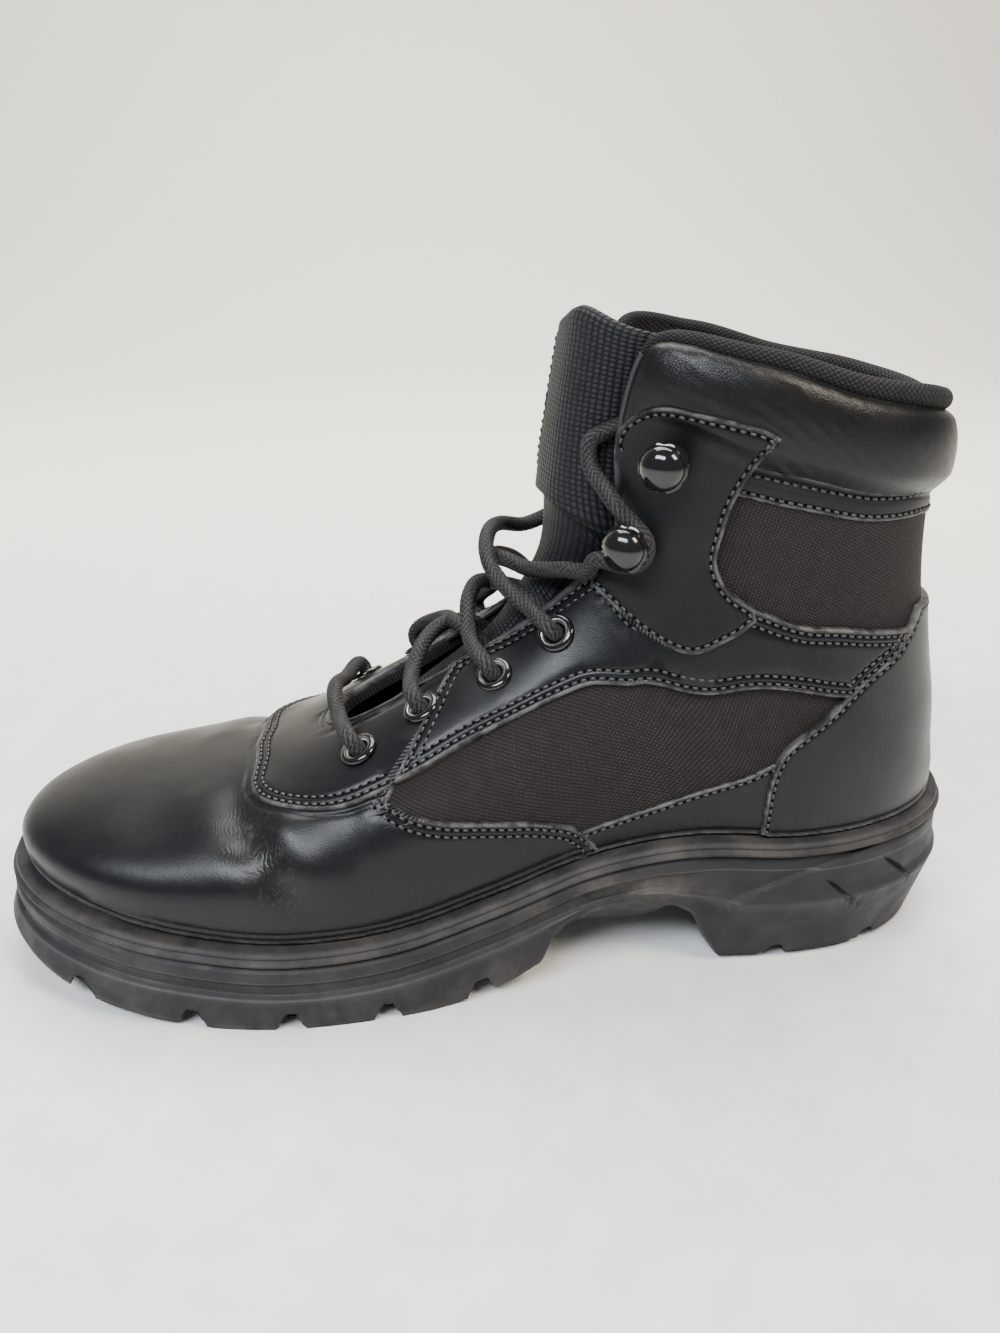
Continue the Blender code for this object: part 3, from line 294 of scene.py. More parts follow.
# The sole, as in the part's source
SOLE_SIDE = (
    # drop_fore, drop_waist, drop_heel, margin_fore, margin_waist, margin_heel
    (0.000, 0.000, 0.000, 0.0115, 0.0115, 0.0115),
    (0.005, 0.005, 0.005, 0.0165, 0.0150, 0.0145),
    (0.015, 0.013, 0.016, 0.0170, 0.0150, 0.0145),
    (0.018, 0.016, 0.020, 0.0140, 0.0120, 0.0145),
    (0.028, 0.028, 0.040, 0.0145, 0.0120, 0.0160),
    (0.031, 0.031, 0.049, 0.0200, 0.0165, 0.0205),
)
BOTTOM_EDGE = (0.008, 0.0250, 0.0170, 0.0000)
BOTTOM = (0.0225, 0.0150, -0.0140)
UNDERSIDE = (
    # along, up, bar
    (0.000, 0.000, 0.00), (0.080, 0.000, 0.00), (0.160, 0.000, 0.00), (0.265, 0.000, 0.00),
    (0.283, 0.190, 0.00), (0.297, 0.400, 0.02), (0.325, 0.540, 0.28), (0.360, 0.590, 0.34),
    (0.395, 0.550, 0.30), (0.428, 0.440, 0.20), (0.442, 0.360, 0.12), (0.452, 0.190, 0.00),
    (0.480, 0.110, 0.00), (0.520, 0.040, 0.00), (0.560, 0.000, 0.00), (0.760, 0.000, 0.00),
    (0.820, 0.040, 0.00), (0.880, 0.100, 0.00), (0.940, 0.180, 0.00), (1.000, 0.270, 0.00),
)
UNDERSIDE_ALONG = np.array([row[0] for row in UNDERSIDE])
RING_TURNS = np.concatenate([
    np.linspace(0.0, 0.24, 7)[:-1], np.linspace(0.24, 0.46, 6)[:-1],
    np.linspace(0.46, 0.72, 14)[:-1], np.linspace(0.72, 1.0, 9),
])
FORE_GROOVES = (0.513, 0.603, 0.693, 0.785, 0.893)
HEEL_GROOVES = (0.100, 0.205)


def ring(margin, drop=0.0, turns=RING_TURNS):
    """Closed ring round the sole line: boot points pushed out in plan by margin."""
    turns = np.concatenate([turns, 2 - turns[-2:0:-1]])
    line = skin(turns, 0.0)
    run = np.roll(line, -1, 0) - np.roll(line, 1, 0)
    out = unit(np.stack([run[:, 1], -run[:, 0]], -1))
    if np.dot(out[0], [1.0, 0.0]) < 0:
        out = -out
    moved = line.copy()
    moved[:, :2] += out * np.asarray(margin)[..., None]
    moved[:, 2] = sole_line(line[:, 0]) - drop
    return moved


def zones(along):
    """Weights of forefoot, waist and heel at a place along the sole."""
    share = along / LENGTH
    fore = np.clip((share - 0.42) / 0.08, 0, 1)
    heel = np.clip((0.34 - share) / 0.08, 0, 1)
    return np.stack([fore, 1 - fore - heel, heel], -1)


def sole_ring(margins, drops, turns=RING_TURNS):
    weights = zones(ring(0.0, 0.0, turns)[:, 0])
    drop = BEAD_HEIGHT + CLEARANCE + weights @ np.array(drops) * LENGTH
    return ring(weights @ np.array(margins) * LENGTH, drop, turns)


def underside(along):
    return np.interp(along / LENGTH, UNDERSIDE_ALONG, [row[1] for row in UNDERSIDE]) * SOLE_HEIGHT


def waist_bar(along):
    return np.interp(along / LENGTH, UNDERSIDE_ALONG, [row[2] for row in UNDERSIDE]) * SOLE_HEIGHT


def plan_centre():
    rings = [sole_ring(row[3:], row[:3]) for row in SOLE_SIDE]
    rings.append(sole_ring(BOTTOM_EDGE[1:], (0, 0, 0)))
    points = np.concatenate(rings)
    return (points.max(0) + points.min(0)) / 2


CENTRE = plan_centre()


def world(p):
    p = np.asarray(p, float)
    return np.stack([CENTRE[0] - p[..., 0], CENTRE[1] - p[..., 1], p[..., 2]], -1)


def world_direction(v):
    return np.asarray(v) * np.array([-1.0, -1.0, 1.0])


class Finish:
    """A node material with short ways to add and join nodes."""

    def __init__(self, name, colour, roughness, metallic=0.0, specular=0.5):
        self.material = bpy.data.materials.new(name)
        self.material.use_nodes = True
        self.tree = self.material.node_tree
        self.shader = self.tree.nodes["Principled BSDF"]
        self.shader.inputs["Base Color"].default_value = (*colour, 1.0)
        self.shader.inputs["Roughness"].default_value = roughness
        self.shader.inputs["Metallic"].default_value = metallic
        self.shader.inputs["Specular IOR Level"].default_value = specular

    def node(self, kind, inputs=(), **settings):
        made = self.tree.nodes.new(kind)
        for key, value in settings.items():
            setattr(made, key, value)
        for key, value in dict(inputs).items():
            if isinstance(value, bpy.types.NodeSocket):
                self.tree.links.new(value, made.inputs[key])
            else:
                made.inputs[key].default_value = value
        return made

    def math(self, operation, a, b=0.0, clamp=False):
        return self.node("ShaderNodeMath", {0: a, 1: b}, operation=operation, use_clamp=clamp).outputs[0]

    def place(self):
        return self.node("ShaderNodeTexCoord").outputs["Object"]

    def surface(self):
        """The piece's own flat coordinates in metres."""
        return self.node("ShaderNodeUVMap", uv_map="surface").outputs[0]

    def noise(self, scale, detail=2.0, roughness=0.5):
        inputs = {"Vector": self.place(), "Scale": scale, "Detail": detail, "Roughness": roughness}
        return self.node("ShaderNodeTexNoise", inputs).outputs["Fac"]

    def stretched(self, vector, scale, turn=0.0):
        return self.node("ShaderNodeMapping", {"Vector": vector, "Scale": scale,
                                               "Rotation": (0, 0, turn)}).outputs[0]

    def ramp(self, value, low, high, to_low=0.0, to_high=1.0):
        inputs = {"Value": value, "From Min": low, "From Max": high, "To Min": to_low, "To Max": to_high}
        return self.node("ShaderNodeMapRange", inputs).outputs[0]

    def mix(self, share, a, b):
        """A colour between a and b."""
        made = self.node("ShaderNodeMix", data_type="RGBA")
        for socket, value in ((made.inputs[0], share), (made.inputs[6], a), (made.inputs[7], b)):
            if isinstance(value, bpy.types.NodeSocket):
                self.tree.links.new(value, socket)
            elif socket is made.inputs[0]:
                socket.default_value = value
            else:
                socket.default_value = (*value, 1.0)
        return made.outputs[2]

    def colour(self, value):
        self.tree.links.new(value, self.shader.inputs["Base Color"])

    def rough(self, value):
        self.tree.links.new(value, self.shader.inputs["Roughness"])

    def bump(self, height, distance, strength=1.0, under=None):
        inputs = {"Height": height, "Distance": distance, "Strength": strength}
        if under is not None:
            inputs["Normal"] = under
        return self.node("ShaderNodeBump", inputs).outputs[0]

    def normal(self, value):
        self.tree.links.new(value, self.shader.inputs["Normal"])

    def attribute(self, name):
        return self.node("ShaderNodeAttribute", attribute_name=name).outputs["Fac"]


LEATHER_DUST = (0.050, 0.042, 0.036)
WORN_EDGE = (0.15, 0.148, 0.145)
RUBBER_BLACK = (0.015, 0.015, 0.017)


def leather_finish(name, colour, roughness, grain, worn):
    """Smooth leather: fine pebble grain, creases that catch dust, worn cut edges."""
    made = Finish(name, colour, roughness, specular=0.24)
    cells = made.node("ShaderNodeTexVoronoi", {"Vector": made.place(), "Scale": 1450.0},
                      feature="DISTANCE_TO_EDGE").outputs["Distance"]
    pebble = made.math("MINIMUM", cells, 0.22)
    soft = made.noise(260.0, 3.0)
    bumped = made.bump(made.math("ADD", pebble, made.math("MULTIPLY", soft, 0.8)), grain)
    bumped = made.bump(made.noise(38.0, 3.0), 0.0005, 0.35, bumped)
    wander = made.ramp(made.noise(120.0, 4.0), 0.3, 0.7, -1.3, 1.3)
    phase = made.math("MULTIPLY", made.math("ADD", made.attribute("phase"), wander), math.pi)
    patches = made.ramp(made.noise(110.0, 2.0), 0.42, 0.62, 0.1, 1.0)
    patchy = made.math("MULTIPLY", made.attribute("fold"), patches)
    folds = made.math("MULTIPLY", made.math("ABSOLUTE", made.math("SINE", phase)), patchy)
    made.normal(made.bump(folds, 0.00011, 1.0, bumped))
    made.rough(made.ramp(made.noise(60.0, 4.0), 0.3, 0.7, roughness - 0.05, roughness + 0.07))
    broken = made.ramp(made.noise(300.0, 3.0), 0.40, 0.62, 0.22, 1.0)
    edge = made.math("MULTIPLY", made.attribute("wear_and_highlight"), broken)
    specks = made.ramp(made.noise(700.0, 2.0), 0.52, 0.66, 0.25, 1.0)
    dusty = made.math("MULTIPLY", made.attribute("dust"), specks)
    tint = made.mix(dusty, colour, LEATHER_DUST)
    made.colour(made.mix(made.math("MULTIPLY", edge, worn), tint, WORN_EDGE))
    return made.material


def weave_finish(name, colour, light, pitch, roughness, turn=0.0, depth=0.00025):
    """A basket weave of round threads, from the piece's own flat coordinates."""
    made = Finish(name, colour, roughness, specular=0.15)
    flat = made.stretched(made.surface(), (1 / pitch, 1 / pitch, 1.0), turn)
    parts = made.node("ShaderNodeSeparateXYZ", {0: flat})
    u, v = parts.outputs[0], parts.outputs[1]
    across = made.math("ABSOLUTE", made.math("SINE", made.math("MULTIPLY", u, math.pi)))
    along = made.math("ABSOLUTE", made.math("SINE", made.math("MULTIPLY", v, math.pi)))
    checks = made.node("ShaderNodeTexChecker", {"Vector": flat, "Scale": 1.0}).outputs["Fac"]
    upright = made.math("MULTIPLY", made.math("POWER", across, 0.6), made.ramp(along, 0, 1, 0.30, 1.0))
    level = made.math("MULTIPLY", made.math("POWER", along, 0.6), made.ramp(across, 0, 1, 0.20, 0.85))
    over = made.math("MULTIPLY", upright, checks)
    under = made.math("MULTIPLY", level, made.math("SUBTRACT", 1.0, checks))
    height = made.math("ADD", over, under)
    made.normal(made.bump(height, depth))
    # Painted shade and highlight: the colour darkens into the gaps between threads and lightens to the
    # lighter colour on their crowns, with random tone on top
    shade = made.ramp(height, 0.20, 1.0)
    shade = made.math("MULTIPLY", shade, made.ramp(made.noise(300.0, 3.0), 0.3, 0.7, 0.65, 1.0))
    made.colour(made.mix(shade, colour, light))
    return made.material


def rubber_finish():
    made = Finish("sole_rubber", RUBBER_BLACK, 0.62, specular=0.24)
    fine = made.noise(900.0, 3.0)
    broad = made.noise(90.0, 4.0)
    height = made.math("ADD", made.math("MULTIPLY", fine, 0.5), broad)
    made.normal(made.bump(height, 0.00012))
    made.rough(made.ramp(made.noise(120.0, 3.0), 0.3, 0.7, 0.50, 0.72))
    dust = made.attribute("dust")
    patchy = made.ramp(made.noise(70.0, 5.0, roughness=0.65), 0.42, 0.68)
    share = made.math("MULTIPLY", dust, patchy, True)
    tint = made.mix(share, RUBBER_BLACK, (0.090, 0.078, 0.067))
    specks = made.ramp(made.noise(1300.0, 3.0), 0.72, 0.80)
    specks = made.math("MULTIPLY", specks, made.ramp(dust, 0.0, 0.6, 0.05, 0.8))
    tint = made.mix(specks, tint, (0.22, 0.20, 0.17))
    # On rubber this attribute is painted highlight: a lighter grey along the outsole's ledge edges and the
    # bead's crest, where they catch light; on leather it marks real worn edges
    wear_and_highlight = made.math("MULTIPLY", made.attribute("wear_and_highlight"), 0.35)
    made.colour(made.mix(wear_and_highlight, tint, (0.14, 0.14, 0.145)))
    return made.material


def braid_finish():
    """The lace: a round braid whose strands cross, from the cord's own coordinates."""
    made = Finish("lace_braid", (0.012, 0.012, 0.012), 0.72, specular=0.2)
    height = made.attribute("braid")
    # Painted shade and highlight: near black where the strands dip under each other, grey on the strand
    # crowns
    shade = made.math("POWER", made.ramp(height, 0.15, 1.0), 2.0)
    made.colour(made.mix(shade, (0.0012, 0.0012, 0.0012), (0.042, 0.041, 0.041)))
    made.normal(made.bump(made.noise(2600.0, 2.0), 0.00012, 0.6))
    return made.material


def plain_finish(name, colour, roughness, metallic=0.0, coat=0.0, grain=500.0, depth=0.00003, specular=0.5):
    made = Finish(name, colour, roughness, metallic, specular)
    made.shader.inputs["Coat Weight"].default_value = coat
    made.shader.inputs["Coat Roughness"].default_value = 0.08
    made.normal(made.bump(made.noise(grain, 3.0), depth))
    uneven = made.noise(grain * 0.3, 3.0)
    made.rough(made.ramp(uneven, 0.3, 0.7, roughness - 0.05, roughness + 0.06))
    return made.material


LEATHER = leather_finish("black_leather", (0.0036, 0.0040, 0.0054), 0.34, 0.00006, 0.60)
MATTE_LEATHER = leather_finish("matte_leather", (0.0034, 0.0036, 0.0044), 0.47, 0.00008, 0.55)
CUFF_LEATHER = leather_finish("cuff_leather", (0.0046, 0.0046, 0.0052), 0.34, 0.00012, 0.5)
WEAVE = weave_finish("ballistic_weave", (0.0060, 0.0049, 0.0050), (0.034, 0.028, 0.029), 0.00092,
                     0.66, 0.62)
WEBBING = weave_finish("tongue_webbing", (0.003, 0.003, 0.0035), (0.024, 0.026, 0.033), 0.00135,
                       0.58, 0.0, 0.0004)
LINING = weave_finish("mesh_lining", (0.005, 0.005, 0.005), (0.028, 0.028, 0.030), 0.0012, 0.8, 0.78)
RUBBER = rubber_finish()
BRAID = braid_finish()
ENAMEL = plain_finish("black_enamel", (0.005, 0.005, 0.0055), 0.10, 0.0, 0.25, 200.0, 0.00001, 0.4)
SILVER = plain_finish("bare_steel", (0.62, 0.62, 0.63), 0.34, 1.0)
THREAD = plain_finish("thread", (0.030, 0.030, 0.031), 0.42, 0.0, 0.0, 3000.0, 0.00004)
# Near-black finish of the discs that paint the shade in the needle holes
PAINTED_PIT_SHADE = plain_finish("painted_hole_shade", (0.002, 0.002, 0.002), 0.8, 0.0, 0.0, 900.0, 0.00001, 0.05)
BINDING = plain_finish("edge_binding", (0.016, 0.016, 0.017), 0.55, 0.0, 0.0, 900.0, 0.00006)
FELT = plain_finish("insole_felt", (0.045, 0.045, 0.048), 0.92, 0.0, 0.0, 1500.0, 0.0002, 0.2)

parts = bpy.data.collections.new("boot_looks")
bpy.context.scene.collection.children.link(parts)


def add_piece(name, points, faces, finishes, nodes=(), face_finish=None, flat=None,
              layers=(), smooth_angle=38.0):
    """A riding mesh piece from boot points. flat gives each point's surface coordinates in metres."""
    mesh = bpy.data.meshes.new(name)
    mesh.from_pydata(world(points).tolist(), [], faces)
    if flat is not None:
        layer = mesh.uv_layers.new(name="surface")
        corner = np.empty(len(mesh.loops), dtype=np.int32)
        mesh.loops.foreach_get("vertex_index", corner)
        layer.data.foreach_set("uv", np.asarray(flat, dtype=np.float32)[corner].ravel())
    for key, values in dict(layers).items():
        made = mesh.attributes.new(key, "FLOAT", "POINT")
        made.data.foreach_set("value", np.asarray(values, dtype=np.float32))
    if face_finish is not None:
        mesh.polygons.foreach_set("material_index", np.asarray(face_finish, dtype=np.int32))
    mesh.update()
    work = bmesh.new()
    work.from_mesh(mesh)
    bmesh.ops.recalc_face_normals(work, faces=work.faces)
    work.to_mesh(mesh)
    work.free()
    mesh.shade_smooth()
    mesh.set_sharp_from_angle(angle=math.radians(smooth_angle))
    thing = bpy.data.objects.new(name, mesh)
    parts.objects.link(thing)
    for finish in finishes if isinstance(finishes, (list, tuple)) else [finishes]:
        mesh.materials.append(finish)
    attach(thing, "root")
    if nodes:
        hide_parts(*nodes)
    return thing


def grid_faces(rows, columns, closed, start=0):
    faces = []
    for i in range(rows - 1):
        for j in range(columns if closed else columns - 1):
            k = (j + 1) % columns
            faces.append((start + i * columns + j, start + i * columns + k,
                          start + (i + 1) * columns + k, start + (i + 1) * columns + j))
    return faces


def end_caps(rows, sides, start=0):
    """The two flat ends of a round grid."""
    last = start + (rows - 1) * sides
    return [tuple(start + k for k in reversed(range(sides))), tuple(last + k for k in range(sides))]


def closing_faces(rows, columns):
    """The faces between the last row of a closed grid and its first."""
    last = (rows - 1) * columns
    return [(last + j, last + (j + 1) % columns, (j + 1) % columns, j) for j in range(columns)]


def circle(count):
    return np.arange(count) / count * 2 * math.pi


# Surface coordinates in metres: arc lengths along a middle line and along each rib
ARC_TURNS = np.linspace(-1.0, 2.0, 361)
ARC_RISES = np.linspace(-0.02, 1.02, 41)
MIDDLE_LINE = skin(ARC_TURNS, 0.55)
ARC_ALONG = walked_along(MIDDLE_LINE)
RIB_TURNS = np.linspace(0.0, 1.0, 61)
RIB_GRID = skin(*np.meshgrid(RIB_TURNS, ARC_RISES, indexing="ij"))
RIB_ARC = np.stack([walked_along(rib) for rib in RIB_GRID])


def surface_place(turn, rise):
    turn, rise = np.broadcast_arrays(np.asarray(turn, float), rise)
    t = folded(turn) * (len(RIB_TURNS) - 1)
    i = np.clip(t.astype(int), 0, len(RIB_TURNS) - 2)
    t = t - i
    steps = len(ARC_RISES) - 1
    r = np.clip((rise - ARC_RISES[0]) / (ARC_RISES[-1] - ARC_RISES[0]) * steps, 0, steps)
    j = np.clip(r.astype(int), 0, steps - 1)
    r = r - j
    low = RIB_ARC[i, j] * (1 - r) + RIB_ARC[i, j + 1] * r
    high = RIB_ARC[i + 1, j] * (1 - r) + RIB_ARC[i + 1, j + 1] * r
    return np.stack([np.interp(turn, ARC_TURNS, ARC_ALONG), low * (1 - t) + high * t], -1)


# Creases and dents where the boot bends, in metres over the boot: centre line from one place on the
# form to another, then half width and depth
CREASES = (
    # turn_a, rise_a, turn_b, rise_b, width, depth
    (0.205, 0.600, 0.282, 0.460, 0.0055, -0.0010),
    (0.282, 0.460, 0.345, 0.280, 0.0060, -0.0012),
    (0.345, 0.280, 0.385, 0.150, 0.0060, -0.0006),
    (0.232, 0.620, 0.312, 0.480, 0.0060, 0.0009),
    (0.312, 0.480, 0.362, 0.330, 0.0055, 0.0004),
    (0.150, 0.560, 0.230, 0.470, 0.0070, 0.0004),
    (0.375, 0.480, 0.388, 0.360, 0.0045, -0.0005),
    (0.392, 0.480, 0.405, 0.370, 0.0040, 0.0003),
)


def near_line(points, a, b):
    """Distance of points from the piece of line between a and b, and the share along it."""
    run = b - a
    share = np.clip(((points - a) @ run) / (run @ run), 0, 1)
    return np.linalg.norm(points - (a + share[..., None] * run), axis=-1), share


def crease_lines():
    lines = []
    for side in (1, -1):
        for turn_a, rise_a, turn_b, rise_b, width, depth in CREASES:
            ends = skin(np.array([side * turn_a, side * turn_b]), np.array([rise_a, rise_b]))
            lines.append((ends[0], ends[1], width, depth))
    return lines


CREASE_LINES = crease_lines()


def relief(points):
    """Soft troughs and ridges of the worn boot, as lifts."""
    lift = np.zeros(points.shape[:-1])
    for a, b, width, depth in CREASE_LINES:
        away, _ = near_line(points, a, b)
        lift += depth * np.exp(-(away / width) ** 2)
    return lift


# Fine folds beside the main creases
FOLDS = (
    # turn, rise, lean, count, spacing, length
    (0.272, 0.440, 0.30, 8, 0.0011, 0.026),
    (0.338, 0.300, 0.25, 8, 0.0012, 0.030),
    (0.385, 0.420, 0.05, 5, 0.0013, 0.018),
)


def smooth_outline(outline, step):
    """Even points along an outline of (turn, rise), smooth but for its sharp corners."""
    places = np.array(outline, float)
    spots = skin(places[:, 0], places[:, 1])
    count = len(places)
    after, before = np.roll(spots, -1, 0) - spots, spots - np.roll(spots, 1, 0)
    ahead, behind = np.linalg.norm(after, axis=1), np.linalg.norm(before, axis=1)
    bend = np.einsum("ij,ij->i", after, before) / np.maximum(ahead * behind, 1e-12)
    corner = bend < math.cos(math.radians(40))
    rate_on = (np.roll(places, -1, 0) - places) / ahead[:, None]
    rate_off = (places - np.roll(places, 1, 0)) / behind[:, None]
    smooth = (rate_on * behind[:, None] + rate_off * ahead[:, None]) / (ahead + behind)[:, None]
    rows, marks = [], []
    for i in range(count):
        k = (i + 1) % count
        leave = rate_on[i] if corner[i] else smooth[i]
        reach = rate_off[k] if corner[k] else smooth[k]
        width = ahead[i]
        pieces = max(1, round(width / step))
        for n in range(pieces):
            rows.append(eased(n / pieces, width, places[i], places[k], leave, reach))
            marks.append(i + n / pieces)
    return np.array(rows), np.array(marks)


def slopes(turn, rise):
    """How the form's points move per unit of turn and of rise."""
    step = 0.002
    along = (skin(turn + step, rise) - skin(turn - step, rise)) / (2 * step)
    up = (skin(turn, rise + step) - skin(turn, rise - step)) / (2 * step)
    return along, up


def shifted(places, move):
    """Places of (turn, rise) after a move given in metres on the form."""
    along, up = slopes(places[:, 0], places[:, 1])
    aa, bb, ab = [np.einsum("ij,ij->i", x, y) for x, y in ((along, along), (up, up), (along, up))]
    ma, mb = np.einsum("ij,ij->i", along, move), np.einsum("ij,ij->i", up, move)
    det = aa * bb - ab * ab
    return places + np.stack([(ma * bb - mb * ab) / det, (mb * aa - ma * ab) / det], -1)


def within(outline, places):
    """Which places lie inside an outline."""
    odd = np.zeros(len(places), bool)
    x, y = places[:, 0], places[:, 1]
    for (x0, y0), (x1, y1) in zip(outline, np.roll(outline, -1, 0)):
        if y0 == y1:
            continue
        odd ^= ((y0 > y) != (y1 > y)) & (x < (x1 - x0) * (y - y0) / (y1 - y0) + x0)
    return odd


def edge_inward(places):
    """Unit vectors on the form that point in from an outline, at each of its points."""
    spots = skin(places[:, 0], places[:, 1])
    run = np.roll(spots, -1, 0) - np.roll(spots, 1, 0)
    run /= np.maximum(np.linalg.norm(run, axis=1, keepdims=True), 1e-12)
    inward = np.cross(outward(spots), run)
    inward /= np.linalg.norm(inward, axis=1, keepdims=True)
    test = shifted(places, inward * 0.0008)
    if within(places, test).mean() < 0.5:
        inward = -inward
    return inward


EDGE_RINGS = np.array([0.12, 0.32, 0.6, 0.95, 1.4, 1.9, 2.3, 2.8, 3.4, 4.0, 4.4, 5.0, 6.0]) * MM
HOLE_RINGS = np.array([3.1, 3.6, 4.4, 5.4, 6.4]) * MM
HOLE_POINTS = 28
EDGE_STEP = 0.0011


def clear_of(places, spots, room):
    """Places outside the rings round each hole's spot, with some room."""
    for spot in spots:
        away = np.linalg.norm(skin(places[:, 0], places[:, 1]) - spot, axis=1)
        places = places[away > HOLE_RINGS[-1] + room]
    return places


class Patch:
    """Triangles inside an outline on the form, with each point's distance from the edge."""

    def __init__(self, outline, spacing, holes=(), rings=EDGE_RINGS):
        self.edge, self.marks = smooth_outline(outline, EDGE_STEP)
        self.tree = self.edge_tree()
        low, high = self.edge.min(0), self.edge.max(0)
        along, up = slopes(*((low + high) / 2)[:, None])
        steps = spacing / np.linalg.norm(along[0]), spacing / np.linalg.norm(up[0])
        hole_spots = [skin(np.array([t]), np.array([r]))[0] for t, r in holes]
        grid = self.inner_grid(low, high, steps, rings[-1] + 0.4 * spacing)
        grid = clear_of(grid, hole_spots, 0.3 * spacing)
        near = clear_of(self.edge_rings(rings), hole_spots, 0.3 * MM)
        everything = np.concatenate([self.edge, near, grid] + self.hole_rings(holes))
        self.triangulate(everything, np.array(steps), hole_spots)
        self.distance = self.away(self.places)

    def edge_tree(self):
        """A search tree of points along the edge."""
        spots = skin(self.edge[:, 0], self.edge[:, 1])
        tree = KDTree(len(spots) * 4)
        for i, (a, b) in enumerate(zip(spots, np.roll(spots, -1, 0))):
            for n in range(4):
                tree.insert(a + (b - a) * n / 4, i)
        tree.balance()
        return tree

    def inner_grid(self, low, high, steps, reach):
        """Even places inside the outline, further than reach from its edge."""
        turns = np.arange(low[0], high[0], steps[0])
        rises = np.arange(low[1], high[1], steps[1])
        grid = np.stack(np.meshgrid(turns, rises), -1).reshape(-1, 2)
        grid = grid[within(self.edge, grid)]
        return grid[self.away(grid) > reach]

    def edge_rings(self, rings):
        """Places that follow the edge at given distances inside it."""
        inward = edge_inward(self.edge)
        near = np.concatenate([shifted(self.edge, inward * reach) for reach in rings])
        near = near[within(self.edge, near)]
        distance = self.away(near)
        keep = np.zeros(len(near), bool)
        for reach in rings:
            keep |= np.abs(distance - reach) < 0.12 * MM
        return near[keep]

    def hole_rings(self, holes):
        """Rings of places round each hole."""
        rounds = []
        angles = np.linspace(0, 2 * math.pi, HOLE_POINTS + 1)[:-1]
        for t, r in holes:
            along, up = slopes(np.array([t]), np.array([r]))
            a = along[0] / np.linalg.norm(along[0])
            b = np.cross(outward(skin(np.array([t]), np.array([r])))[0], a)
            for reach in HOLE_RINGS:
                move = (a * np.cos(angles)[:, None] + b * np.sin(angles)[:, None]) * reach
                places = shifted(np.tile([t, r], (HOLE_POINTS, 1)), move)
                rounds.append(places[within(self.edge, places)])
        return rounds

    def triangulate(self, places, scale, hole_spots):
        """Joins places into triangles inside the outline, with the holes left open."""
        flat = [Vector(p) for p in places / scale]
        places, _, faces, *_ = delaunay_2d_cdt(flat, [], [list(range(len(self.edge)))], 1, 1e-5)
        places = np.array([tuple(p) for p in places]) * scale
        spots = skin(places[:, 0], places[:, 1])
        faces = np.array([tuple(f) for f in faces])
        centres = spots[faces].mean(1)
        for spot in hole_spots:
            solid = np.linalg.norm(centres - spot, axis=1) >= HOLE_RINGS[0]
            faces, centres = faces[solid], centres[solid]
        used, back = np.unique(faces, return_inverse=True)
        self.places, self.spots, self.normals = places[used], spots[used], outward(spots)[used]
        self.faces = back.reshape(-1, 3)

    def away(self, places):
        spots = skin(places[:, 0], places[:, 1])
        return np.array([self.tree.find(s)[2] for s in spots])

    def solid(self, name, top, base, finish, nodes, layers, smooth_angle=50.0):
        """A closed piece between two lifts, one number or one for every point."""
        count = len(self.places)
        upper = self.spots + self.normals * np.broadcast_to(top, count)[:, None]
        lower = self.spots + self.normals * np.broadcast_to(base, count)[:, None]
        faces = [tuple(f) for f in self.faces.tolist()]
        both = faces + [tuple(i + count for i in reversed(f)) for f in faces]
        ties = {}
        for f in faces:
            for a, b in zip(f, f[1:] + f[:1]):
                ties[(a, b)] = True
        both += [(b, a, a + count, b + count) for a, b in ties if (b, a) not in ties]
        flat = surface_place(self.places[:, 0], self.places[:, 1])
        layers = {key: np.concatenate([values, values]) for key, values in dict(layers).items()}
        return add_piece(name, np.concatenate([upper, lower]), both, finish, nodes,
                         flat=np.concatenate([flat, flat]), layers=layers, smooth_angle=smooth_angle)


EDGE_RADIUS = 0.62 * MM
RIDGE_AT = 0.95 * MM
RIDGE_HEIGHT = 0.22 * MM
GROOVE_WIDTH = 0.55 * MM
GROOVE_DEPTH = 0.36 * MM


def edge_profile(distance, thickness, seams):
    """Height over the base: a rounded edge, a slight ridge behind it, and a groove at each seam."""
    share = np.clip(distance / EDGE_RADIUS, 0, 1)
    height = thickness * np.sqrt(np.clip(1 - (1 - share) ** 2, 0, 1))
    height += RIDGE_HEIGHT * np.exp(-((distance - RIDGE_AT) / GROOVE_WIDTH) ** 2)
    for groove in seams:
        height -= GROOVE_DEPTH * np.exp(-((distance - groove) / GROOVE_WIDTH) ** 2)
    if len(seams) == 2:
        height += 0.10 * MM * np.exp(-((distance - sum(seams) / 2) / (0.5 * MM)) ** 2)
    return height


def folds(points):
    """How strong the fine folds beside the creases are, and the count across them."""
    strength, phase = np.zeros(points.shape[:-1]), np.zeros(points.shape[:-1])
    for side in (1, -1):
        for turn, rise, lean, count, spacing, length in FOLDS:
            centre = skin(np.array([side * turn]), np.array([rise]))[0]
            along, _ = slopes(np.array([side * turn]), np.array([rise]))
            a = along[0] / np.linalg.norm(along[0]) * side
            b = np.cross(outward(centre), a)
            b = b * np.sign(b[2])
            across = a * math.cos(lean) + b * math.sin(lean)
            down = b * math.cos(lean) - a * math.sin(lean)
            x, y = (points - centre) @ across, (points - centre) @ down
            fade = np.exp(-(y / (0.5 * length)) ** 2 - (x / (0.42 * count * spacing)) ** 2)
            phase = np.where(fade > strength, x / spacing + 0.5 * np.sin(y * 300), phase)
            strength = np.maximum(strength, fade)
    return strength, phase


STITCH_PITCH = 2.6 * MM
STITCH_LENGTH = 1.75 * MM
THREAD_RADIUS = 0.42 * MM
THREADS = []
PIT_SHADE_SPOTS = []


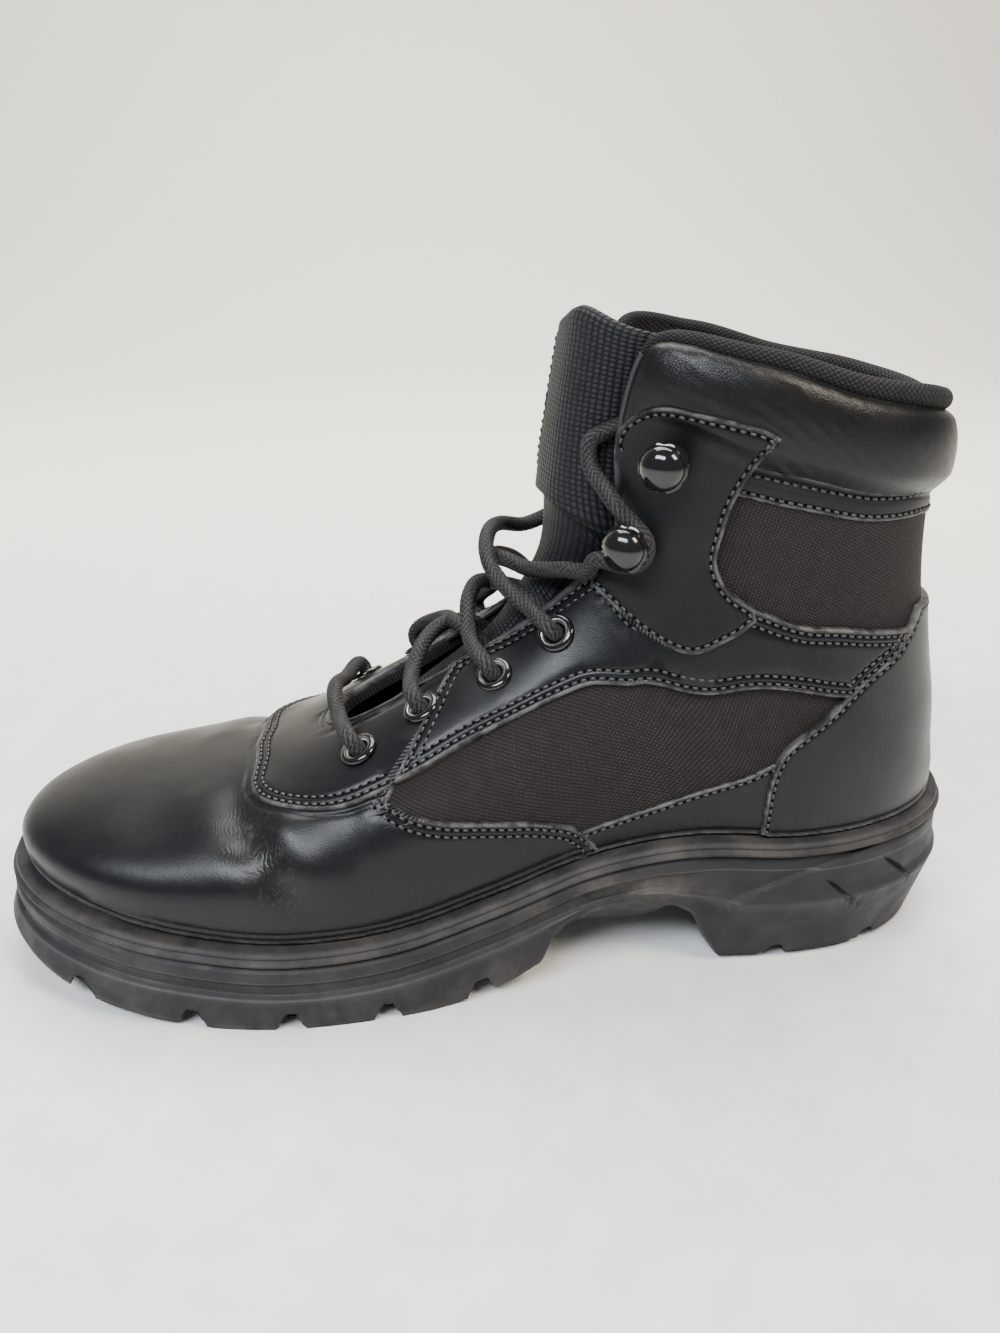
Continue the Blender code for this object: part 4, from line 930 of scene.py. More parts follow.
def stitch(line, normals):
    """Adds a row of stitches along a line of boot points."""
    walked = walked_along(line)
    count = int(walked[-1] / STITCH_PITCH)
    marks = (np.arange(count) + 0.5) * STITCH_PITCH + (walked[-1] - count * STITCH_PITCH) / 2
    for mark in marks:
        ends = []
        for place in (mark - STITCH_LENGTH / 2, mark, mark + STITCH_LENGTH / 2):
            point = np.array([np.interp(place, walked, line[:, k]) for k in range(3)])
            normal = np.array([np.interp(place, walked, normals[:, k]) for k in range(3)])
            ends.append((point, normal / np.linalg.norm(normal)))
        THREADS.append(ends)
        PIT_SHADE_SPOTS.append((ends[-1], ends[-1][0] - ends[0][0]))


def build_threads():
    """All stitches as one joined mesh: short round threads whose ends dive in."""
    points, faces = [], []
    # share of the stitch, height of its middle and thickness in thread radii
    rows = ((0.0, -0.9, 0.45), (0.12, 0.05, 0.85), (0.5, 0.55, 1.0), (0.88, 0.05, 0.85), (1.0, -0.9, 0.45))
    sides = 6
    radius = THREAD_RADIUS
    for (a, na), (b, nb), (c, _) in THREADS:
        run = c - a
        run = run / np.linalg.norm(run)
        start = len(points)
        for share, sink, thick in rows:
            if share < 0.5:
                centre, normal = a + (b - a) * share * 2, na
            else:
                centre, normal = b + (c - b) * (share - 0.5) * 2, nb
            across = np.cross(normal, run)
            centre = centre + normal * sink * radius
            for k in range(sides):
                angle = 2 * math.pi * k / sides
                round_point = across * math.cos(angle) + normal * math.sin(angle) * 0.8
                points.append(centre + radius * thick * round_point)
        faces += grid_faces(len(rows), sides, True, start) + end_caps(len(rows), sides, start)
    add_piece("stitches", np.array(points), faces, THREAD, smooth_angle=180)
    # Small near-black discs at the needle holes between stitches: painted shade standing for the shadow in
    # each pit
    points, faces = [], []
    rows = ((0.55 * MM, -0.35 * MM), (0.50 * MM, 0.10 * MM), (0.22 * MM, 0.13 * MM))
    sides = 7
    for (end, normal), run in PIT_SHADE_SPOTS:
        run = run / np.linalg.norm(run)
        across = np.cross(normal, run)
        centre = end + run * (STITCH_PITCH - STITCH_LENGTH) / 2
        start = len(points)
        for reach, height in rows:
            for k in range(sides):
                angle = 2 * math.pi * k / sides
                around = run * math.cos(angle) + across * math.sin(angle)
                points.append(centre + normal * height + reach * around)
        faces += grid_faces(len(rows), sides, True, start) + end_caps(len(rows), sides, start)
    add_piece("painted_hole_shades", np.array(points), faces, PAINTED_PIT_SHADE, smooth_angle=180)


def seam(patch, reach, level, first=None, last=None):
    """Stitches at a distance in from a patch's edge, between two of its outline's points."""
    inward = edge_inward(patch.edge)
    places = shifted(patch.edge, inward * reach)
    marks = patch.marks
    first = 0 if first is None else first
    last = marks.max() + 1 if last is None else last
    if first <= last:
        order = np.nonzero((marks >= first) & (marks <= last))[0]
    else:
        order = np.concatenate([np.nonzero(marks >= first)[0], np.nonzero(marks <= last)[0]])
    places = places[order]
    places = places[within(patch.edge, places)]
    spots = skin(places[:, 0], places[:, 1])
    normals = outward(spots)
    level = level(places) if callable(level) else level
    raised = spots + normals * (level - 0.12 * MM + relief(spots))[:, None]
    gap = np.linalg.norm(np.diff(spots, axis=0), axis=1)
    cuts = np.nonzero(gap > 6 * MM)[0] + 1
    for run, facing in zip(np.split(raised, cuts), np.split(normals, cuts)):
        if len(run) > 3:
            stitch(run, facing)


# Outlines of the layers, (turn, rise), measured on the lateral side
APRON_EDGE = [(0.000, 0.740), (0.095, 0.730), (0.150, 0.690), (0.200, 0.635), (0.260, 0.570),
              (0.310, 0.530), (0.355, 0.515), (0.405, 0.540)]
APRON_TOP = [(0.440, 0.985), (0.330, 0.990), (0.240, 0.990), (0.160, 0.990), (0.080, 0.990)]
VAMP_REAR = [(0.405, 0.505), (0.432, 0.440), (0.460, 0.385), (0.497, 0.320), (0.537, 0.240),
             (0.565, 0.150), (0.578, 0.060), (0.583, 0.000)]
EYESTAY_LOW = [(0.402, 0.545), (0.424, 0.560), (0.460, 0.592), (0.500, 0.606), (0.540, 0.614),
               (0.578, 0.608), (0.608, 0.580), (0.638, 0.542), (0.688, 0.440), (0.738, 0.360),
               (0.782, 0.330), (0.815, 0.318)]
BAND_TOP = [(0.850, 0.377), (0.885, 0.440), (0.895, 0.484), (0.860, 0.485), (0.825, 0.482),
            (0.790, 0.480), (0.765, 0.505), (0.735, 0.545), (0.700, 0.600)]
EYESTAY_TOP = [(0.660, 0.700), (0.632, 0.830), (0.604, 0.930), (0.592, 0.990), (0.560, 0.990),
               (0.500, 0.990), (0.460, 0.990), (0.410, 0.990)]
ANKLE = [(0.690, 0.990), (0.718, 0.962), (0.743, 0.900), (0.765, 0.882), (0.785, 0.881), (0.797, 0.879),
         (0.8025, 0.868), (0.794, 0.830), (0.785, 0.780), (0.775, 0.725), (0.763, 0.650),
         (0.754, 0.595), (0.755, 0.545), (0.765, 0.508), (0.763, 0.482), (0.750, 0.462),
         (0.735, 0.464), (0.720, 0.480), (0.690, 0.555), (0.655, 0.665), (0.625, 0.770),
         (0.600, 0.865), (0.583, 0.940), (0.590, 0.990), (0.640, 0.990)]
COUNTER_EDGE = [(0.703, 0.000), (0.712, 0.070), (0.723, 0.135), (0.740, 0.195), (0.768, 0.245),
                (0.820, 0.340), (0.850, 0.390), (0.873, 0.430), (0.892, 0.480), (0.912, 0.535),
                (1.000, 0.545)]
MIDFOOT = [(0.560, 0.000), (0.555, 0.060), (0.550, 0.125), (0.577, 0.130), (0.613, 0.140), (0.667, 0.160),
           (0.740, 0.190), (0.735, 0.135), (0.722, 0.070), (0.715, 0.000)]
CUFF_LOW = [(0.690, 0.955), (0.718, 0.900), (0.743, 0.862), (0.765, 0.818), (0.784, 0.785), (0.804, 0.782),
            (0.840, 0.785), (0.902, 0.797), (1.000, 0.800)]
CUFF_HIGH = [(0.690, 1.000), (0.780, 1.000), (0.860, 1.000), (0.930, 1.000), (1.000, 1.000)]
CUFF_CREST = 0.995
EYELETS = ((0.335, 0.715), (0.395, 0.800), (0.478, 0.795), (0.540, 0.830))
HOOKS = ((0.703, 0.770), (0.751, 0.790))
# Heights of faces over the form
WEAVE_LIFT = -1.35 * MM
BASE_LIFT = -1.75 * MM
VAMP_LIFT = -0.2 * MM
APRON_LIFT = 0.5 * MM
COUNTER_LIFT = 0.6 * MM
MIDFOOT_LIFT = -0.55 * MM
TAPE_LIFT = -0.75 * MM
ANKLE_LIFT = 1.5 * MM
HOOK_LIFT = 2.35 * MM
# Distances of seams from an edge
SEAMS = (2.0 * MM, 4.3 * MM)
ONE_SEAM = (1.7 * MM,)


def mirrored(outline):
    return [(-t, r) for t, r in reversed(outline)]


def over_toe(outline):
    return list(outline) + [(-t, r) for t, r in reversed(outline) if t > 0]


def over_heel(outline):
    return list(outline) + [(2 - t, r) for t, r in reversed(outline) if t < 1]


def dust_at(points):
    """Where dust settles: in the flex crease and low down by the sole."""
    low = np.exp(-(points[..., 2] - sole_line(points[..., 0])) / (4.0 * MM)) * 0.5
    for a, b, width, depth in CREASE_LINES:
        if depth < -1.1 * MM:
            away, _ = near_line(points, a, b)
            low = low + 0.35 * np.exp(-(away / (1.5 * width)) ** 2)
    return np.clip(low, 0, 1)


def leather_piece(name, outline, top, finish, seams=SEAMS, ranges=((None, None),), holes=(), nodes=(),
                  spacing=2.3 * MM):
    """A leather layer with a rounded, worn edge and its stitched seams."""
    patch = Patch(outline, spacing, holes)
    level = top(patch.places) if callable(top) else top
    thickness = level - BASE_LIFT
    lift = BASE_LIFT + edge_profile(patch.distance, thickness, seams) + relief(patch.spots)
    strength, phase = folds(patch.spots)
    worn = np.exp(-((patch.distance - 0.55 * MM) / (0.55 * MM)) ** 2)
    layers = {"wear_and_highlight": worn, "dust": dust_at(patch.spots), "fold": strength, "phase": phase}
    patch.solid(name, lift, BASE_LIFT - 0.4 * MM, finish, nodes, layers)
    for first, last in ranges:
        for reach in seams:
            seam(patch, reach, top, first, last)


def eyestay_level(places):
    """The eyestay lies over the apron in front and sinks to one layer behind."""
    share = np.clip((np.abs(places[:, 0]) - 0.448) / 0.055, 0, 1)
    return (1.15 - 0.95 * smooth_step(share)) * MM


def ends(span, count, side):
    """A range of outline marks, turned round for the mirrored outline."""
    return (span if side > 0 else (count - 1 - span[1], count - 1 - span[0]),)


def build_leather():
    vamp = over_toe([(t, r + 0.03) for t, r in APRON_EDGE] + VAMP_REAR)
    last = len(APRON_EDGE) + len(VAMP_REAR)
    leather_piece("vamp_leather", vamp, VAMP_LIFT, LEATHER, nodes=("vamp",), spacing=1.5 * MM,
                  ranges=((len(APRON_EDGE) - 1, last - 1.4), (last + 0.4, last + len(VAMP_REAR) + 0.4)))
    apron = over_toe(APRON_EDGE + APRON_TOP)
    count = len(APRON_EDGE)
    turn, rise = EYELETS[0]
    leather_piece("apron_leather", apron, APRON_LIFT, LEATHER, nodes=("vamp_apron",),
                  holes=((turn, rise), (-turn, rise)), spacing=1.8 * MM,
                  ranges=((len(apron) - count + 1, count - 1),))
    leather_piece("counter_leather", over_heel(COUNTER_EDGE), COUNTER_LIFT, LEATHER, ONE_SEAM, ((0, 20),),
                  nodes=("heel_counter",))
    eyestay = EYESTAY_LOW + BAND_TOP + EYESTAY_TOP
    for word, side in (("lateral", 1), ("medial", -1)):
        turned = list if side > 0 else mirrored
        holes = [(side * t, r) for t, r in EYELETS[1:]]
        leather_piece("eyestay_leather_" + word, turned(eyestay), eyestay_level, LEATHER, holes=holes,
                      nodes=("eyestay_" + word,), spacing=1.8 * MM)
        leather_piece("ankle_leather_" + word, turned(ANKLE), ankle_level, MATTE_LEATHER, (2.0 * MM,),
                      ends((0.3, len(ANKLE) - 2.6), len(ANKLE), side),
                      nodes=("ankle_overlay_" + word,))
        leather_piece("midfoot_leather_" + word, turned(MIDFOOT), MIDFOOT_LIFT, LEATHER, ONE_SEAM,
                      ends((2.1, 6.0), len(MIDFOOT), side), nodes=("midfoot_panel_" + word,))


def cuff_swell(turn, rise):
    """How far the padding swells: most in the middle, and less where the cuff is narrow."""
    low = np.interp(folded(turn), [t for t, _ in CUFF_LOW], [r for _, r in CUFF_LOW])
    across = np.clip((rise - low) / (CUFF_CREST - low), 0, 1)
    room = np.clip((CUFF_CREST - low) / 0.19, 0.25, 1.0)
    crown = 0.2 + 0.8 * np.sqrt(4 * across * (1 - across))
    return CUFF_SWELL * room * crown * np.clip(across / 0.25, 0, 1) ** 0.7


def ankle_level(places):
    """The ankle overlay lies flat on the upper and swells where the cuff passes under it."""
    over_cuff = cuff_swell(places[:, 0], places[:, 1]) - 0.1 * MM
    soft = 0.55 * MM
    return soft * np.logaddexp(ANKLE_LIFT / soft, over_cuff / soft)


def build_cuff():
    outline = over_heel(CUFF_LOW) + [(2 - t, r) for t, r in CUFF_HIGH[:-1]] + CUFF_HIGH[::-1]
    patch = Patch(outline, 1.6 * MM, rings=np.array([0.15, 0.5, 1.0, 1.7, 2.6]) * MM)
    turn, rise = patch.places[:, 0], patch.places[:, 1]
    soft = np.clip(patch.distance / (3.0 * MM), 0, 1)
    lift = -COVER + cuff_swell(turn, rise) * np.sqrt(1 - (1 - soft) ** 2)
    puckers = np.exp(-((folded(turn) - 0.775) / 0.035) ** 2)
    flat = surface_place(turn, rise)
    wave = np.sin(flat[:, 0] * 1500 + 2.2 * np.sin(flat[:, 1] * 380)) * np.sin(flat[:, 1] * 700 + 0.8)
    lift = lift + (0.10 + 0.20 * puckers) * MM * wave * soft
    layers = {"wear_and_highlight": np.exp(-(patch.distance / (0.6 * MM)) ** 2) * 0.6, "dust": 0 * lift}
    thing = patch.solid("cuff_leather", lift, BASE_LIFT, CUFF_LEATHER, ("collar_cuff",), layers, 60)


def build_shell():
    """The woven upper with its lining: outer and inner wall, closed at the edges."""
    turns = np.linspace(0, 2, 281)[:-1]
    rises = np.concatenate([np.linspace(0, 0.97, 80), [0.985, 0.995, 1.0]])
    t, r = np.meshgrid(turns, rises)
    spots = skin(t, r)
    normals = outward(spots)
    crease = relief(spots)
    outer = spots + normals * (WEAVE_LIFT + crease)[..., None]
    inner = spots + normals * (-(COVER + COVER_GAP + WALL) + crease)[..., None]
    rim = (outer[-1] + inner[-1]) / 2 + np.array([0, 0, 0.0006])
    rows = np.concatenate([outer, rim[None], inner[::-1]])
    count, columns = rows.shape[:2]
    faces = grid_faces(count, columns, True) + closing_faces(count, columns)
    flat = surface_place(t, r)
    around = surface_place(turns, 1.0)
    flat = np.concatenate([flat, around[None], flat[::-1]]).reshape(-1, 2)
    outside = (len(rises) - 1) * columns
    kinds = [0] * outside + [1] * (len(faces) - outside)
    thing = add_piece("woven_upper", rows.reshape(-1, 3), faces, [WEAVE, LINING], ("upper",),
                      kinds, flat)
    cutter = bmesh.new()
    radius = EYELET_BORE / 2 + 0.4 * MM
    for side in (1, -1):
        for turn, rise in EYELETS:
            bmesh.ops.create_cone(cutter, cap_ends=True, segments=24, radius1=radius, radius2=radius,
                                  depth=16 * MM, matrix=seat(side * turn, rise, 0.0))
    mesh = bpy.data.meshes.new("eyelet_cutter")
    cutter.to_mesh(mesh)
    cutter.free()
    holes = bpy.data.objects.new("eyelet_cutter", mesh)
    parts.objects.link(holes)
    made = thing.modifiers.new("Holes", "BOOLEAN")
    made.operation = "DIFFERENCE"
    made.solver = "EXACT"
    made.object = holes
    apply_modifiers(thing)
    bpy.data.objects.remove(holes, do_unlink=True)


def apply_modifiers(thing):
    bpy.context.view_layer.update()
    graph = bpy.context.evaluated_depsgraph_get()
    mesh = bpy.data.meshes.new_from_object(thing.evaluated_get(graph), preserve_all_data_layers=True,
                                           depsgraph=graph)
    thing.modifiers.clear()
    thing.data = mesh


def seat(turn, rise, lift):
    """A frame on the form: its origin at the place, its Z along the outward normal."""
    place = skin(np.array([turn]), np.array([rise]))[0]
    normal = outward(place)
    place = place + normal * lift
    turned = Vector(world_direction(normal)).to_track_quat("Z", "X").to_matrix().to_4x4()
    return Matrix.Translation(Vector(world(place))) @ turned


def lathe(name, profile, steps, matrix, finishes, split, node, closed=False, wobble=None):
    """A profile of (radius, height) turned about Z. split: first row of the second finish."""
    rows = len(profile)
    points = []
    for r, z in profile:
        for k in range(steps):
            angle = 2 * math.pi * k / steps
            reach = r if wobble is None else wobble(r, z, angle)
            points.append((reach * math.cos(angle), reach * math.sin(angle), z))
    faces = grid_faces(rows, steps, True)
    kinds = [0 if i < split else 1 for i in range(rows - 1) for _ in range(steps)]
    if closed:
        faces += closing_faces(rows, steps)
        kinds += [kinds[-1]] * steps
    mesh = bpy.data.meshes.new(name)
    mesh.from_pydata([tuple(matrix @ Vector(p)) for p in points], [], faces)
    mesh.polygons.foreach_set("material_index", np.array(kinds, dtype=np.int32))
    work = bmesh.new()
    work.from_mesh(mesh)
    bmesh.ops.remove_doubles(work, verts=work.verts, dist=0.000001)
    bmesh.ops.recalc_face_normals(work, faces=work.faces)
    work.to_mesh(mesh)
    work.free()
    mesh.shade_smooth()
    mesh.set_sharp_from_angle(angle=math.radians(45))
    thing = bpy.data.objects.new(name, mesh)
    parts.objects.link(thing)
    for finish in finishes:
        mesh.materials.append(finish)
    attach(thing, "root")
    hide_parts(node)


def both_sides(places):
    for number, (turn, rise) in enumerate(places, 1):
        yield f"lateral_{number}", turn, rise
        yield f"medial_{number}", -turn, rise


def build_eyelets():
    bore, flange = EYELET_BORE / 2, EYELET_FLANGE / 2
    for word, turn, rise in both_sides(EYELETS):
        level = 0.9 * MM if abs(turn) < 0.45 else 0.5 * MM
        profile = [(flange - 0.25 * MM, -0.25 * MM), (flange, 0.1 * MM), (flange - 0.1 * MM, 0.5 * MM),
                   (flange - 0.6 * MM, 0.95 * MM), (bore + 1.05 * MM, 1.12 * MM), (bore + 0.7 * MM, 1.0 * MM),
                   (bore + 0.35 * MM, 0.75 * MM), (bore + 0.1 * MM, 0.35 * MM), (bore, -0.3 * MM),
                   (bore, -3.4 * MM), (bore + EYELET_WALL, -3.4 * MM), (bore + EYELET_WALL, -0.3 * MM)]
        lathe("eyelet_ring_" + word, profile, 40, seat(turn, rise, level), (ENAMEL, SILVER), 4,
              "eyelet_" + word, closed=True)


def build_hooks():
    neck, dome = HOOK_NECK / 2, HOOK_DOME / 2
    gap = LACE_DIAMETER + 2 * CLEARANCE
    under = HOOK_FOOT + gap

    def notched(r, z, angle):
        """The skirt under the ball has six shallow notches."""
        if under - 0.1 * MM < z < under + 1.6 * MM and r > dome - 1.2 * MM:
            return r * (1 - 0.07 * max(0.0, math.cos(6 * angle)) ** 3)
        return r

    profile = [(0.0, 0.0), (neck + 3.0 * MM, 0.0), (neck + 3.0 * MM, 0.5 * MM), (neck + 2.4 * MM, HOOK_FOOT),
               (neck + 0.6 * MM, HOOK_FOOT + 0.2 * MM), (neck, HOOK_FOOT + 0.8 * MM),
               (neck, under - 0.6 * MM), (neck + 0.8 * MM, under), (dome - 0.9 * MM, under),
               (dome, under + 0.3 * MM), (dome, under + 0.9 * MM), (dome - 0.5 * MM, under + 1.25 * MM),
               (dome - 0.85 * MM, under + 1.35 * MM)]
    ball = dome - 0.6 * MM
    for i in range(13):
        angle = math.radians(90 * i / 12)
        profile.append((ball * math.cos(angle), under + 1.5 * MM + 4.4 * MM * math.sin(angle)))
    for word, turn, rise in both_sides(HOOKS):
        lathe("ball_hook_" + word, profile, 48, seat(turn, rise, HOOK_LIFT), (ENAMEL,), len(profile),
              "hook_" + word, wobble=notched)


# The tongue, as in the part's source
TONGUE = (
    # turn, ahead, raised, swell
    (0.080, 0.030, 0.000, 0.000),
    (0.160, 0.010, 0.000, 0.020),
    (0.240, 0.000, 0.000, 0.040),
    (0.330, 0.000, 0.000, 0.070),
    (0.420, 0.000, 0.000, 0.095),
    (0.465, 0.000, 0.000, 0.108),
    (0.510, 0.000, 0.000, 0.145),
    (0.550, 0.000, 0.000, 0.178),
    (0.590, 0.000, 0.000, 0.212),
    (0.625, 0.000, 0.000, 0.232),
    (0.670, 0.000, 0.000, 0.230),
    (0.710, 0.000, 0.000, 0.235),
    (0.745, 0.000, 0.000, 0.250),
    (0.750, 0.000, 0.020, 0.262),
)
UPPER_FACE = -(COVER + COVER_GAP)
TONGUE_SINK = UPPER_FACE - WALL - LACE_DIAMETER - 5 * CLEARANCE
BAND_HALF = 0.0165
MIDDLE_COLUMN = 30
BAND_COLUMN = 16
TONGUE_ROWS = 120


def tongue_sides(turn, columns):
    """Side places of the tongue's columns; the webbing's edges always fall on the same two."""
    share = smooth_step(np.clip((turn - 0.50) / 0.22, 0, 1))
    edge = BAND_COLUMN / MIDDLE_COLUMN
    half = TONGUE_WIDTH / 2
    rows = []
    for s in share:
        places = (-half, -BAND_HALF * (1 - 0.45 * s), BAND_HALF * (1 + 0.5 * s), half)
        rows.append(np.interp(columns, (-1, -edge, edge, 1), places))
    return np.array(rows)


def between_rows(values, count):
    """Values at the rows of a table, made into more rows along smooth curves."""
    table = np.column_stack([np.arange(len(values)), values.reshape(len(values), -1)])
    fine = np.linspace(0, len(values) - 1, count)
    made = [smooth_column(table, k)(fine) for k in range(1, table.shape[1])]
    return np.stack(made, -1).reshape(count, *values.shape[1:])


def build_tongue():
    """A padded tongue: webbing down its middle, leather at its sides, a rounded top with three soft lobes."""
    turn, ahead, raised, swell = np.array(TONGUE).T[..., None]
    columns = np.linspace(-1, 1, 2 * MIDDLE_COLUMN + 1)
    side = tongue_sides(turn[:, 0], columns)
    half = np.interp(turn, (0.60, 0.72), (0.90, 1.02)) * np.maximum(throat_half(turn), 0.14 * SHAFT_WIDTH)
    even = np.interp(turn, (0.44, 0.50, 0.56, 0.62, 0.67, 0.75), (12.7, 16.0, 18.6, 21.0, 22.5, 25.5)) * MM
    half = np.where(side < 0, np.maximum(half, even), half)
    hump = np.clip(1 - np.abs(side / half) ** 2.5, 0, 1)
    fuller = smooth_step(np.clip((turn - 0.46) / 0.15, 0, 1)) * np.interp(turn, (0.66, 0.75), (1.0, 0.6))
    lift = TONGUE_SINK + hump * swell * SHAFT_WIDTH
    lift = lift + 5.0 * MM * fuller * np.exp(-((side + 14.0 * MM) / (11.0 * MM)) ** 2)
    number = np.abs(np.arange(len(columns)) - MIDDLE_COLUMN)
    lift = lift + np.where(number < BAND_COLUMN, 0.35, np.where(number == BAND_COLUMN, -0.35, 0.0)) * MM
    found = throat(turn + 0 * side, side, 0 * side, ahead, raised)
    normal = outward(found)
    found, normal, lift, side = [between_rows(v, TONGUE_ROWS) for v in (found, normal, lift, side)]
    normal = unit(normal)
    walked = walked_along(found[:, MIDDLE_COLUMN])[:, None]
    from_top = walked[-1] - walked
    taper = np.sqrt(1 - np.clip(1 - from_top / (4.5 * MM), 0, 0.999) ** 2)
    thick = (TONGUE_THICKNESS - 0.4 * MM) / 2
    profile = thick * np.sqrt(1 - np.abs(columns) ** 8) * taper
    near_top = np.clip(1 - from_top / (24.0 * MM), 0, 1) ** 2
    fall = np.where(columns < 0, 15.0 * np.abs(columns) ** 1.7, 8.5 * np.abs(columns) ** 2.0)
    lower = near_top * (fall + 1.7 * np.sin(1.5 * math.pi * columns) ** 2) * MM
    found[..., 2] -= lower
    front = found + normal * (lift - thick + profile)[..., None]
    back = found + normal * (lift - thick - profile)[..., None]
    stack = np.concatenate([front, back[:, -2:0:-1]], 1)
    count = stack.shape[1]
    faces = grid_faces(len(stack), count, True)
    left, right = MIDDLE_COLUMN - BAND_COLUMN, MIDDLE_COLUMN + BAND_COLUMN
    kinds = [0 if left <= i % count < right else 1 for i in range(len(faces))]
    for start in (0, (len(stack) - 1) * count):
        for j in range(2 * MIDDLE_COLUMN):
            quad = (start + j, start + j + 1, start + (count - j - 1) % count, start + (count - j) % count)
            faces.append(tuple(dict.fromkeys(quad)))
            kinds.append(0)
    flat = np.stack([side, walked + 0 * side], -1)
    flat = np.concatenate([flat, flat[:, -2:0:-1]], 1).reshape(-1, 2)
    thing = add_piece("tongue_padded", stack.reshape(-1, 3), faces, [WEBBING, LEATHER], ("tongue",),
                      kinds, flat, smooth_angle=60)
    for column in (left - 2, left + 2, right - 2, right + 2):
        line = front[10:-8, column]
        stitch(line + normal[10:-8, column] * 0.1 * MM, normal[10:-8, column])


def smooth_route(points, count):
    """Even points on a smooth curve through a route, and the curve's length."""
    points = np.array([np.asarray(p, float) for p in points])
    walked = walked_along(points)
    rows = np.column_stack([walked, points])
    marks = np.linspace(0, walked[-1], count * 4)
    fine = np.stack([smooth_column(rows, k)(marks) for k in (1, 2, 3)], -1)
    walked = walked_along(fine)
    marks = np.linspace(0, walked[-1], count)
    return np.stack([np.interp(marks, walked, fine[:, k]) for k in range(3)], -1), walked[-1]


BRAID_STRANDS = 8
BRAID_PITCH = 14 * MM
BRAID_ROW = 0.42 * MM
BRAID_SIDES = 28


def braided(name, route, node):
    """A round braided lace along a route: eight strands, over and under."""
    _, length = smooth_route(route, 60)
    count = int(length / BRAID_ROW)
    line, length = smooth_route(route, count)
    run = unit(np.gradient(line, axis=0))
    across = np.zeros_like(line)
    start = np.cross(run[0], [0.3, 0.1, 1.0])
    across[0] = start / np.linalg.norm(start)
    for i in range(1, count):
        turned = across[i - 1] - run[i] * (across[i - 1] @ run[i])
        across[i] = turned / np.linalg.norm(turned)
    other = np.cross(run, across)
    angle = circle(BRAID_SIDES)
    walked = np.arange(count) * length / (count - 1)
    twist = walked[:, None] * 2 * math.pi / BRAID_PITCH
    a = BRAID_STRANDS / 2 * (angle[None] + twist)
    b = BRAID_STRANDS / 2 * (angle[None] - twist)
    left, right = np.cos(a), np.cos(b)
    height = np.where(np.sin(a) * np.sin(b) > 0, np.abs(left), np.abs(right)) ** 0.7
    radius = LACE_DIAMETER / 2 * (0.86 + 0.17 * height)
    radius[[0, -1]] *= 0.9
    points = line[:, None] + radius[..., None] * (across[:, None] * np.cos(angle)[None, :, None]
                                                 + other[:, None] * np.sin(angle)[None, :, None])
    faces = grid_faces(count, BRAID_SIDES, True) + end_caps(count, BRAID_SIDES)
    thing = add_piece(name, points.reshape(-1, 3), faces, BRAID, (node,),
                      layers={"braid": height.ravel()}, smooth_angle=180)
    return thing, line, length


# Lace crossings. The lower strand leaves the medial eyelet, arches over the tongue and dives under the
# other edge at the next eyelet
CROSSINGS = (
    # word, turn at the start, turn at the end, arch over the tongue in lace diameters
    ("2", 0.395, 0.470, 1.05),
    ("3", 0.478, 0.535, 1.45),
)
# Places over the throat. turn: the rib; share: of the throat's half width, + lateral; lift: over the
# form, in lace diameters. The upper strands leave the lateral eyelets, and the lace's two ends run
# from the top eyelets in to the lower hooks and out again
UPPER_STRANDS = (
    # turn, share, lift
    ((0.348, 0.98, 0.95), (0.367, 0.48, 1.33), (0.387, 0.08, 1.49), (0.415, -0.30, 1.30),
     (0.445, -0.62, 0.20)),
    ((0.450, 1.06, 1.20), (0.456, 0.63, 1.82), (0.469, 0.21, 2.41), (0.485, -0.20, 2.45),
     (0.505, -0.60, 0.90)),
)
BAR = (
    (0.160, 1.52, 0.92), (0.150, 0.66, 1.35), (0.148, 0.00, 1.50), (0.150, -0.66, 1.35),
    (0.160, -1.52, 0.92),
)
LATERAL_IN = (
    (0.530, -1.05, 1.90), (0.520, -0.60, 2.70), (0.518, -0.27, 2.85), (0.525, 0.00, 2.36),
    (0.533, 0.32, 1.45), (0.545, 0.61, 1.10), (0.566, 0.90, 1.00), (0.592, 1.09, 1.05),
)
LATERAL_OUT = (
    (0.672, 1.01, 1.09), (0.686, 0.73, 0.86), (0.700, 0.72, 0.79), (0.706, 0.79, 0.10),
    (0.711, 0.90, -0.70),
)
MEDIAL_IN = (
    (0.527, 1.20, 1.08), (0.520, 0.94, 1.60), (0.515, 0.59, 2.51), (0.515, 0.33, 3.30),
    (0.520, 0.07, 3.87), (0.530, -0.30, 4.15), (0.543, -0.72, 3.90), (0.562, -1.05, 3.00),
)
MEDIAL_OUT = (
    (0.672, -1.25, 2.20), (0.685, -1.10, 3.30), (0.698, -1.10, 3.50), (0.711, -1.02, 3.00),
    (0.719, -0.90, 1.60), (0.721, -0.84, 0.60),
)


def over_throat(rows):
    """Boot points of a table of places over the throat."""
    return [throat(turn, share * float(throat_half(turn)), lift * LACE_DIAMETER)
            for turn, share, lift in rows]


def out_of_eyelet(turn, rise):
    """The first two points of a strand that comes out of an eyelet."""
    return [skin(turn, rise, -0.6 * LACE_DIAMETER), skin(turn, rise, 0.9 * LACE_DIAMETER)]


def under_edge(start, end, sign):
    """The last two points of a strand that dives under the throat's edge on side sign."""
    lift = UPPER_FACE - WALL - 0.5 * LACE_DIAMETER - CLEARANCE
    near, far = start + 0.9 * (end - start), end
    return [throat(near, sign * 0.92 * float(throat_half(near)), lift * 0.96),
            throat(far, sign * 1.06 * float(throat_half(far)), lift)]


